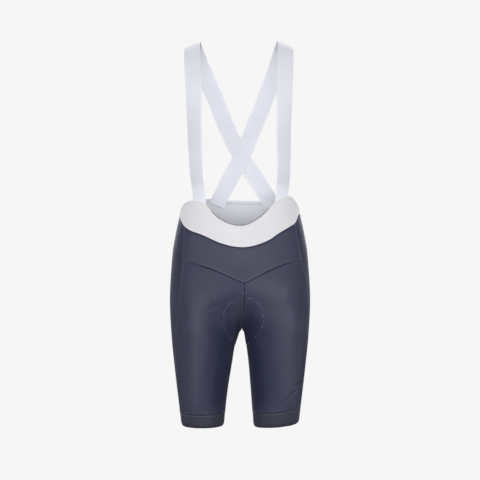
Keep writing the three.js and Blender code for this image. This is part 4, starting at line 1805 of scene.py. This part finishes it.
@dataclass
class Waistband:
    """The white band, in a front and a back length, and the binding along the back's top edge.

    Under this studio's lamps, painted shade darkens the back's inside downwards by inner_shade, below a
    painted lift at its top, and a painted shadow line, roll_shade deep, runs along the front's dipped top
    edge.
    """

    form: BodyForm
    lines: CutLines
    wardrobe: Wardrobe
    wall: float = 2.0
    front_columns: int = 96
    back_columns: int = 90
    rows: int = 30
    binding_rows: int = 12
    edge: SeamShape = SeamShape(groove=0.0, ridge=0.45, ridge_place=1.5, ridge_width=1.1, pucker=0.05)
    low_edge: SeamShape = SeamShape(groove=0.0, ridge=0.5, ridge_place=1.6, ridge_width=1.2, pucker=0.05)
    joint: SeamShape = SeamShape(groove=0.5, groove_width=1.0, ridge=0.2)
    inner_top: float = 1.06
    inner_shade: float = 0.17
    inner_run: float = 66.0
    dip_reach: float = 72.0
    dip_fade: float = 12.0
    roll_shade: float = 0.92
    shadow_line_width: float = 2.7
    tack_width: float = 10.0
    tack_rows: tuple[float, ...] = (-0.5, 0.0, 0.5)
    tacks: tuple[tuple[float, float], ...] = ((-99.0, 9.5), (104.0, 5.5))
    grids: dict[str, ClothGrid] = field(default_factory=dict)

    def length(self, at_back: bool, upper: Line, lower: Line, rows: int,
               seams: dict[Edge, SeamShape]) -> ClothGrid:
        """Lays out a length of the band over both sides of the body.

        Args:
            at_back: Whether it runs round the back.
            upper: The line of its upper edge.
            lower: The line of its lower edge.
            rows: How many steps it has from one to the other.
            seams: The shapes of its edges.

        Returns:
            The cloth.
        """
        down = fine_ended(rows) if rows > 2 * len(EDGE_STEPS) else np.linspace(0, 1, rows + 1)
        across = fine_ended(self.back_columns if at_back else self.front_columns, fine_start=False)
        halves = []
        for side in Side:
            joint = self.lines.band_joint(side)
            around = 1 - (1 - joint) * across if at_back else joint * across
            levels = self.lines.row_at(side, around[:, None], upper, lower, down[None, :])
            halves.append(self.form.point(side, levels, around[:, None]))
        points = np.concatenate([halves[0][::-1], halves[1][1:]])
        joined = tuple(edge for edge, shape in seams.items() if shape is not self.edge)
        grid = ClothGrid(points, self.form.normal(points), self.wall, joined=joined)
        heights = sum(grid.seam(edge, shape, 2.0 + 0.7 * k) for k, (edge, shape) in enumerate(seams.items()))
        grid.raise_by(heights)
        grid.refresh_normals()
        from_top = grid.away_from(Edge.TOP)
        # Painted light and shade: the back's inside is paler at the top and darker downwards, and the front
        # gets a painted shadow line along its dipped top edge.
        if at_back:
            grid.inner_share = self.inner_top - self.inner_shade * smoothstep(from_top / self.inner_run)
        else:
            dip = smoothstep((self.dip_reach - np.abs(grid.points[..., 0])) / self.dip_fade)
            shadow_line = np.exp(-((from_top / self.shadow_line_width) ** 2))
            grid.tone = grid.tone * (1 - self.roll_shade * dip * shadow_line)
        return grid

    def build(self) -> dict[str, bpy.types.Object]:
        """Makes the band's three lengths.

        Returns:
            The pieces by the CAD node that each one stands for.
        """
        ends = {Edge.START: self.joint, Edge.END: self.joint}
        made = {}
        for node, at_back, upper, lower, rows, seams, dress in (
            ("waistband_front", False, Line.TOP, Line.BAND, self.rows,
             {Edge.TOP: self.edge, Edge.BOTTOM: self.low_edge, **ends}, Dress.WHITE),
            ("waistband_back", True, Line.BINDING, Line.BAND, self.rows,
             {Edge.TOP: self.joint, Edge.BOTTOM: self.low_edge, **ends}, Dress.COOL_WHITE),
            ("back_binding", True, Line.TOP, Line.BINDING, self.binding_rows,
             {Edge.TOP: self.edge, **ends}, Dress.COOL_WHITE),
        ):
            self.grids[node] = self.length(at_back, upper, lower, rows, seams)
            made[node] = self.grids[node].build(f"{node}_knit", self.wardrobe.get(dress))
        return made

    def sew(self, rows: Stitching) -> None:
        """Lays the stitches along the band's edges, and the tacks over the front ends of the straps.

        Args:
            rows: The stitching to add to.
        """
        front, back = self.grids["waistband_front"], self.grids["waistband_back"]
        for grid, edge, inset in (
            (front, Edge.TOP, 3.1), (front, Edge.BOTTOM, 3.2), (back, Edge.TOP, 1.8),
            (back, Edge.BOTTOM, 3.2), (front, Edge.START, 1.8), (front, Edge.END, 1.8),
        ):
            rows.sew(*grid.line_beside(edge, inset), pitch=3.0, length=2.1)
        for x, sink in self.tacks:
            self.tack(rows, front, x, sink)

    def tack(self, rows: Stitching, front: ClothGrid, x: float, sink: float) -> None:
        """Lays a close bar of stitches below the top edge, over a strap's end.

        Args:
            rows: The stitching to add to.
            front: The front length of the band.
            x: How far across the bar's middle lies.
            sink: How far it lies below the edge.
        """
        line, out = front.line_beside(Edge.TOP, sink)
        chosen = np.abs(line[:, 0] - x) < self.tack_width / 2
        for drop in self.tack_rows:
            rows.sew(line[chosen] + UP * drop, out[chosen], pitch=0.9, length=2.0, slant=70)


@dataclass
class Straps:
    """The two elastic straps, each from the front band over its shoulder to the far side of the back band.

    Their tone, painted shade at the shoulders and painted light at the band, goes from top_tone there to
    low_tone. The inner side's is that times inner_low, rising to inner_top near the shoulders as painted
    light.
    """

    form: BodyForm
    wardrobe: Wardrobe
    wall: float = 1.6
    width: float = 40.0
    shoulder_x: float = 108.0
    crossing_height: float = -265.0
    crossing_reach: float = 110.0
    crossing_lift: float = 1.05
    landing_height: float = -315.0
    landing_reach: float = 45.0
    band_wall: float = 2.0
    band_gap: float = 0.7
    steps: int = 14
    columns: int = 18
    top_tone: float = 0.95
    low_tone: float = 1.07
    tone_start: float = 150.0
    tone_run: float = 230.0
    inner_low: float = 1.02
    inner_top: float = 1.17
    inner_start: float = 260.0
    inner_run: float = 210.0
    sewn_insets: tuple[float, ...] = (4.0, 16.0)
    curves: dict[str, SmoothCurve] = field(init=False)
    grids: dict[str, ClothGrid] = field(default_factory=dict)

    def __post_init__(self) -> None:
        """Fits the curves of the straps' route, by station number."""
        table = np.asarray(STRAP_ROWS, float)
        number = np.arange(len(table))
        self.curves = {
            name: SmoothCurve.through(number, table[:, k], runs_on=True)
            for k, name in enumerate(STRAP_COLUMNS)
        }

    def over_body(self, x: np.ndarray, place: np.ndarray) -> np.ndarray:
        """Finds points on the straps' route.

        Args:
            x: How far they lie from the body's middle.
            place: Their places along it, by station number.

        Returns:
            The points.
        """
        depth = self.curves["depth"](place) + self.curves["bow"](place) * x * x
        height = self.curves["height"](place) - self.curves["slope"](place) * (np.abs(x) - self.shoulder_x)
        return np.stack([x, depth, height], axis=-1)

    def middle_layer(self, side: Side) -> np.ndarray:
        """Works out the middle of one strap's thickness.

        Args:
            side: The shoulder that it goes over.

        Returns:
            Its points, by share of its width and by place along it.
        """
        stations = len(STRAP_ROWS) - 1
        place = fine_ended(stations * self.steps) * stations
        share = fine_ended(self.columns) - 0.5
        share, place = np.meshgrid(share, place, indexing="ij")
        away = self.curves[side.label]
        step = 0.01
        zero = np.zeros_like(place)
        ahead, behind = self.over_body(zero, place + step), self.over_body(zero, place - step)
        length = np.linalg.norm(ahead - behind, axis=-1)
        bow, slope = self.curves["bow"](place), self.curves["slope"](place)
        tilt = np.sqrt(1 + (2 * bow * away(place)) ** 2 + slope**2)
        drift = side.value * tilt * (away(place + step) - away(place - step))
        scale = share * self.width / np.hypot(length, drift)
        along = -drift * scale * 2 * step / length
        points = self.over_body(side.value * away(place) + length * scale / tilt, place + along)
        near = np.exp(-(((points[..., 2] - self.crossing_height) / self.crossing_reach) ** 4))
        near = np.where(place > len(STRAP_ROWS) / 2, near, 0.0)
        points[..., 1] -= side.value * self.crossing_lift * near
        landing = smoothstep((self.landing_height - points[..., 2]) / self.landing_reach)
        inside = points.copy()
        inside[..., 1] = 0.0
        outward = np.zeros_like(points)
        outward[..., 1] = np.sign(points[..., 1])
        seat = self.form.leave(inside, outward, self.form.longest_ray)
        seat = seat - self.form.normal(seat) * (self.band_wall + self.band_gap + self.wall / 2)
        return points + (seat - points) * landing[..., None]

    def build(self) -> dict[str, bpy.types.Object]:
        """Makes the two straps.

        Returns:
            The pieces by the CAD node that each one stands for.
        """
        finish = self.wardrobe.get(Dress.STRAP)
        made = {}
        for side in Side:
            middle = self.middle_layer(side)
            normals = unit(np.cross(np.gradient(middle, axis=1), np.gradient(middle, axis=0)))
            flip = np.sign((normals[self.columns // 2, 2] * np.array([0.0, -1.0, 0.0])).sum())
            normals = normals * flip
            grid = ClothGrid(middle + normals * self.wall / 2, normals, self.wall)
            # Painted shade near the shoulders and painted light towards the band, and painted light on the
            # inner side near the shoulders.
            low = smoothstep((-middle[..., 2] - self.tone_start) / self.tone_run)
            grid.tone = self.top_tone + (self.low_tone - self.top_tone) * low
            high = smoothstep((middle[..., 2] + self.inner_start) / self.inner_run)
            grid.inner_share = self.inner_low + (self.inner_top - self.inner_low) * high
            node = f"strap_{side.label}"
            self.grids[node] = grid
            made[node] = grid.build(f"{node}_elastic", finish)
        return made

    def sew(self, rows: Stitching) -> None:
        """Lays two rows of stitches across each end of the straps, inside the band.

        Args:
            rows: The stitching to add to.
        """
        for grid in self.grids.values():
            for inset in self.sewn_insets:
                for edge in (Edge.BOTTOM, Edge.TOP):
                    rows.sew(*grid.line_beside(edge, inset), pitch=2.6, length=2.0, span=(0.06, 0.94))


@dataclass(frozen=True)
class SoftBox:
    """A studio lamp behind a square of cloth."""

    name: str
    place: Vector
    aim: Vector
    size: float
    watts: float

    def hang(self) -> None:
        """Adds the lamp to the scene."""
        lamp = bpy.data.lights.new(self.name, "AREA")
        lamp.shape = "SQUARE"
        lamp.size = self.size
        lamp.energy = self.watts
        holder = bpy.data.objects.new(self.name, lamp)
        holder.location = self.place
        holder.rotation_euler = (self.aim - self.place).to_track_quat("-Z", "Y").to_euler()
        bpy.context.scene.collection.objects.link(holder)


@dataclass
class Studio:
    """The camera, the lamps, and a pale floor that curves up all round into the backdrop."""

    wardrobe: Wardrobe
    camera_place: tuple[float, float, float] = (0.0, -3.2, -0.47)
    lens: float = 100.0
    sensor: float = 36.0
    room_radius: float = 7.0
    floor_level: float = -1.5
    air: Colour = (1.0, 1.0, 1.0)
    air_strength: float = 0.105
    lamp_size: float = 1.3
    aim: tuple[float, float, float] = (0.0, 0.0, -0.5)
    lamp_reach: float = 3.6
    lamps: tuple[tuple[str, float, float, float], ...] = (
        ("front", 0.0, 12.0, 43.0),
        ("front_side", 22.0, 12.0, 19.0),
        ("near_side", 52.0, 12.0, 21.0),
        ("front_low", 22.0, -15.0, 9.5),
        ("rear_low", 100.0, -13.0, 7.5),
        ("rear_side", 110.0, 42.0, 28.0),
        ("rear", 150.0, 12.0, 12.0),
        ("rear_high", 150.0, 42.0, 45.0),
    )

    def set_camera(self) -> None:
        """Puts the camera level before the middle of the garment."""
        data = bpy.data.cameras.new("camera")
        data.lens = self.lens
        data.sensor_width = self.sensor
        camera = bpy.data.objects.new("camera", data)
        camera.location = self.camera_place
        camera.rotation_euler = (math.pi / 2, 0.0, 0.0)
        bpy.context.scene.collection.objects.link(camera)
        bpy.context.scene.camera = camera

    def set_room(self) -> None:
        """Makes the floor and backdrop as one bowl that gives no light of its own to the cloth."""
        bpy.ops.object.select_all(action="DESELECT")
        bpy.ops.mesh.primitive_uv_sphere_add(segments=96, ring_count=48, radius=self.room_radius)
        room = bpy.context.active_object
        room.name = "paper_room"
        points = np.array([v.co for v in room.data.vertices])
        points[:, 2] = np.maximum(points[:, 2], self.floor_level)
        room.data.vertices.foreach_set("co", points.astype(np.float32).ravel())
        room.data.flip_normals()
        room.data.update()
        room.data.materials.append(self.wardrobe.get(Dress.BACKDROP))
        bpy.ops.object.shade_smooth()
        room.visible_diffuse = False
        room.visible_glossy = False
        room.visible_shadow = False

    def set_light(self) -> None:
        """Hangs the lamps and sets the even light of the room."""
        for name, turn, climb, watts in self.lamps:
            for way in (1, -1) if turn else (1,):
                across, up = math.radians(way * turn), math.radians(climb)
                flat = math.cos(up)
                away = Vector((math.sin(across) * flat, -math.cos(across) * flat, math.sin(up)))
                aim = Vector(self.aim)
                SoftBox(f"{name}_{way}", aim + away * self.lamp_reach, aim, self.lamp_size, watts).hang()
        world = bpy.data.worlds.new("air")
        world.use_nodes = True
        sky = world.node_tree.nodes["Background"]
        sky.inputs["Color"].default_value = rgba(self.air)
        sky.inputs["Strength"].default_value = self.air_strength
        bpy.context.scene.world = world
        bpy.context.scene.view_settings.view_transform = "Standard"

    def build(self) -> None:
        """Sets up the whole studio."""
        self.set_camera()
        self.set_room()
        self.set_light()


LEFT, RIGHT = Side
# Side, width and depth, then stations of row and place around; the first half shows from the front.
CREASES = tuple(Crease(side, tuple(route), width, depth) for side, width, depth, *route in (
    (LEFT, 4.4, 1.5, (817, 0.325), (812, 0.37), (808, 0.425)),
    (LEFT, 4.4, 1.2, (757, 0.385), (776, 0.43)),
    (LEFT, 5.4, 1.1, (856, 0.28), (834, 0.33), (806, 0.41)),
    (LEFT, 3.6, 0.5, (652, 0.05), (660, 0.1), (672, 0.15)),
    (LEFT, 3.2, 0.55, (700, 0.05), (704, 0.1), (714, 0.14)),
    (LEFT, 7.0, 0.5, (596, 0.33), (640, 0.36), (700, 0.365)),
    (LEFT, 4.0, 0.4, (846, 0.1), (853, 0.17), (866, 0.22)),
    (RIGHT, 5.5, 0.6, (616, 0.1), (622, 0.15), (634, 0.19)),
    (RIGHT, 3.4, 0.5, (668, 0.06), (672, 0.1), (682, 0.15)),
    (RIGHT, 3.0, 0.5, (704, 0.04), (707, 0.09), (716, 0.13)),
    (RIGHT, 7.0, 0.5, (586, 0.33), (630, 0.35), (690, 0.345)),
    (RIGHT, 8.0, 0.45, (742, 0.2), (790, 0.215), (852, 0.21)),
    (RIGHT, 4.5, 0.4, (858, 0.33), (850, 0.38), (836, 0.43)),
    (LEFT, 5.5, 1.8, (684, 0.97), (694, 0.9), (699, 0.8)),
    (RIGHT, 5.5, 1.9, (682, 0.97), (695, 0.89), (701, 0.78)),
    (LEFT, 4.5, 1.1, (712, 0.93), (717, 0.86), (714, 0.79)),
    (RIGHT, 4.5, 1.2, (716, 0.92), (722, 0.84)),
    (LEFT, 5.0, 1.1, (846, 0.62), (838, 0.7), (842, 0.78)),
    (RIGHT, 5.0, 1.3, (838, 0.6), (848, 0.68), (844, 0.77)),
    (LEFT, 4.0, 0.8, (866, 0.82), (858, 0.9)),
    (RIGHT, 6.0, 0.9, (788, 0.58), (806, 0.67), (812, 0.74)),
    (LEFT, 6.0, 0.8, (742, 0.72), (756, 0.8), (758, 0.88)),
    (LEFT, 6.0, 0.9, (466, 0.72), (474, 0.82), (472, 0.92)),
    (RIGHT, 6.0, 1.0, (470, 0.7), (480, 0.8), (476, 0.88)),
    (LEFT, 7.0, 0.8, (500, 0.56), (524, 0.62), (556, 0.64)),
    (RIGHT, 7.0, 0.9, (508, 0.55), (538, 0.6), (570, 0.6)),
))
# Side, width and strength, then stations of row and place around. These were set under this studio's lamps
# until the cloth looked right, so they are painted highlight and painted shade in the knit's colour.
TONE_MARKS = tuple(ToneMark(side, tuple(route), width, strength) for side, width, strength, *route in (
    (LEFT, 17.0, 0.58, (606, 0.22), (650, 0.255), (690, 0.29), (760, 0.31), (882, 0.325)),
    (LEFT, 38.0, -0.44, (626, 0.1), (700, 0.12), (780, 0.15), (890, 0.17)),
    (LEFT, 26.0, -0.46, (540, 0.46), (640, 0.455), (740, 0.44), (885, 0.435)),
    (LEFT, 11.0, -0.18, (600, 0.12), (650, 0.155), (682, 0.2), (715, 0.215), (780, 0.22), (850, 0.22)),
    (LEFT, 13.0, 0.14, (700, 0.36), (760, 0.36), (880, 0.355)),
    (LEFT, 11.0, 0.1, (720, 0.28), (790, 0.285), (880, 0.3)),
    (LEFT, 12.0, -0.12, (575, 0.31), (610, 0.315), (665, 0.3)),
    (LEFT, 22.0, 0.52, (574, 0.0), (580, 0.1), (598, 0.24)),
    (RIGHT, 16.0, 0.46, (590, 0.215), (650, 0.245), (700, 0.275), (780, 0.285), (885, 0.3)),
    (RIGHT, 30.0, -0.42, (596, 0.14), (680, 0.165), (780, 0.17), (890, 0.175)),
    (RIGHT, 20.0, -0.3, (410, 0.35), (490, 0.35), (580, 0.36)),
    (LEFT, 22.0, -0.3, (410, 0.36), (490, 0.37), (580, 0.4)),
    (RIGHT, 17.0, -0.5, (690, 0.03), (770, 0.04), (890, 0.05)),
    (RIGHT, 10.0, -0.18, (575, 0.12), (622, 0.155), (655, 0.17), (695, 0.205), (750, 0.22), (850, 0.23)),
    (RIGHT, 12.0, 0.22, (620, 0.025), (660, 0.045), (705, 0.095), (720, 0.12)),
    (RIGHT, 10.0, 0.12, (600, 0.385), (690, 0.39), (790, 0.39)),
    (RIGHT, 14.0, 0.3, (650, 0.45), (720, 0.455), (800, 0.45)),
    (RIGHT, 10.0, -0.12, (580, 0.29), (620, 0.295), (665, 0.29)),
    (RIGHT, 11.0, 0.12, (835, 0.3), (862, 0.31), (888, 0.31)),
    (RIGHT, 20.0, -0.24, (545, 0.35), (700, 0.375), (885, 0.39)),
    (RIGHT, 14.0, 0.25, (578, 0.0), (588, 0.1), (600, 0.16)),
    (RIGHT, 12.0, 0.3, (604, 0.02), (640, 0.04)),
    *((side, 38.0, 0.18, (520, 0.74), (600, 0.72), (670, 0.74)) for side in Side),
    (LEFT, 16.0, -0.25, (694, 0.97), (704, 0.88), (706, 0.76)),
    (RIGHT, 16.0, -0.25, (694, 0.97), (706, 0.88), (708, 0.76)),
    (LEFT, 20.0, 0.28, (730, 0.7), (800, 0.69), (880, 0.68)),
    (RIGHT, 20.0, 0.28, (730, 0.71), (800, 0.7), (880, 0.69)),
    *((side, 24.0, -0.28, (720, 0.9), (800, 0.89), (885, 0.88)) for side in Side),
))


@dataclass(frozen=True)
class Cut:
    """What a length of cloth was cut to, in metres, before it was sewn to others and drawn over the body."""

    slot: Slot
    width: float
    length: float
    area: float
    joins: tuple[str, ...]

    def declare(self, piece: bpy.types.Object) -> None:
        """Makes a list of the pieces it joins, and leaves the piece as it is."""
        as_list(self.joins)


CUTS = {
    "yoke_front": Cut(Slot.NAVY, 0.292, 0.083, 0.0197,
                      ("waistband_front", "leg_front_left", "leg_front_right")),
    "leg_front_left": Cut(Slot.NAVY, 0.215, 0.355, 0.0593, ("yoke_front", "leg_back_left", "hem_left")),
    "leg_front_right": Cut(Slot.NAVY, 0.199, 0.359, 0.0558, ("yoke_front", "leg_back_right", "hem_right")),
    "leg_back_left": Cut(Slot.NAVY, 0.296, 0.490, 0.1129, ("waistband_back", "leg_front_left", "hem_left")),
    "leg_back_right": Cut(Slot.NAVY, 0.324, 0.493, 0.1191,
                          ("waistband_back", "leg_front_right", "hem_right")),
    "hem_left": Cut(Slot.HEM, 0.368, 0.0425, 0.01305, ("leg_front_left", "leg_back_left")),
    "hem_right": Cut(Slot.HEM, 0.354, 0.0318, 0.0108, ("leg_front_right", "leg_back_right")),
    "waistband_front": Cut(Slot.WHITE, 0.398, 0.0713, 0.01984, ("yoke_front", "waistband_back")),
    "waistband_back": Cut(Slot.WHITE, 0.390, 0.0646, 0.01536,
                          ("leg_back_left", "leg_back_right", "waistband_front")),
    "back_binding": Cut(Slot.WHITE, 0.371, 0.01, 0.0031, ("waistband_back",)),
    "strap_left": Cut(Slot.STRAP, 0.0405, 0.836, 0.0332, ("waistband_front", "waistband_back")),
    "strap_right": Cut(Slot.STRAP, 0.0405, 0.845, 0.0336, ("waistband_front", "waistband_back")),
}


def main() -> None:
    """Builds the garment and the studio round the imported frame."""
    logging.basicConfig(level=logging.INFO, format="%(message)s")
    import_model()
    wardrobe = Wardrobe()
    Studio(wardrobe).build()
    form = BodyForm()
    lines = CutLines(form)
    pad = SeatPad(form, wardrobe)
    panels = LegPanels(form, lines, pad, wardrobe, CREASES + TONE_MARKS)
    hems = Hems(form, lines, wardrobe)
    band = Waistband(form, lines, wardrobe)
    straps = Straps(form, wardrobe)

    pieces = {"seat_pad": pad.build()}
    for part in (panels, hems, band, straps):
        pieces.update(part.build())
    for node, piece in pieces.items():
        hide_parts(node)
        if node in CUTS:
            CUTS[node].declare(piece)
        LOG.info("%s stands for %s: %d faces", piece.name, node, len(piece.data.polygons))

    for name, thread, sewers, dress, slot in (
        ("seam_stitches", 0.28, (panels.sew, hems.sew), Dress.NAVY_THREAD, Slot.NAVY),
        ("pad_and_side_stitches", 0.34, (panels.sew_pale,), Dress.PALE_THREAD, Slot.NAVY),
        ("band_stitches", 0.3, (band.sew, straps.sew), Dress.WHITE_THREAD, Slot.WHITE),
    ):
        rows = Stitching(name, thread)
        for sew in sewers:
            sew(rows)
        rows.build(wardrobe.get(dress))


if __name__ == "__main__":
    main()
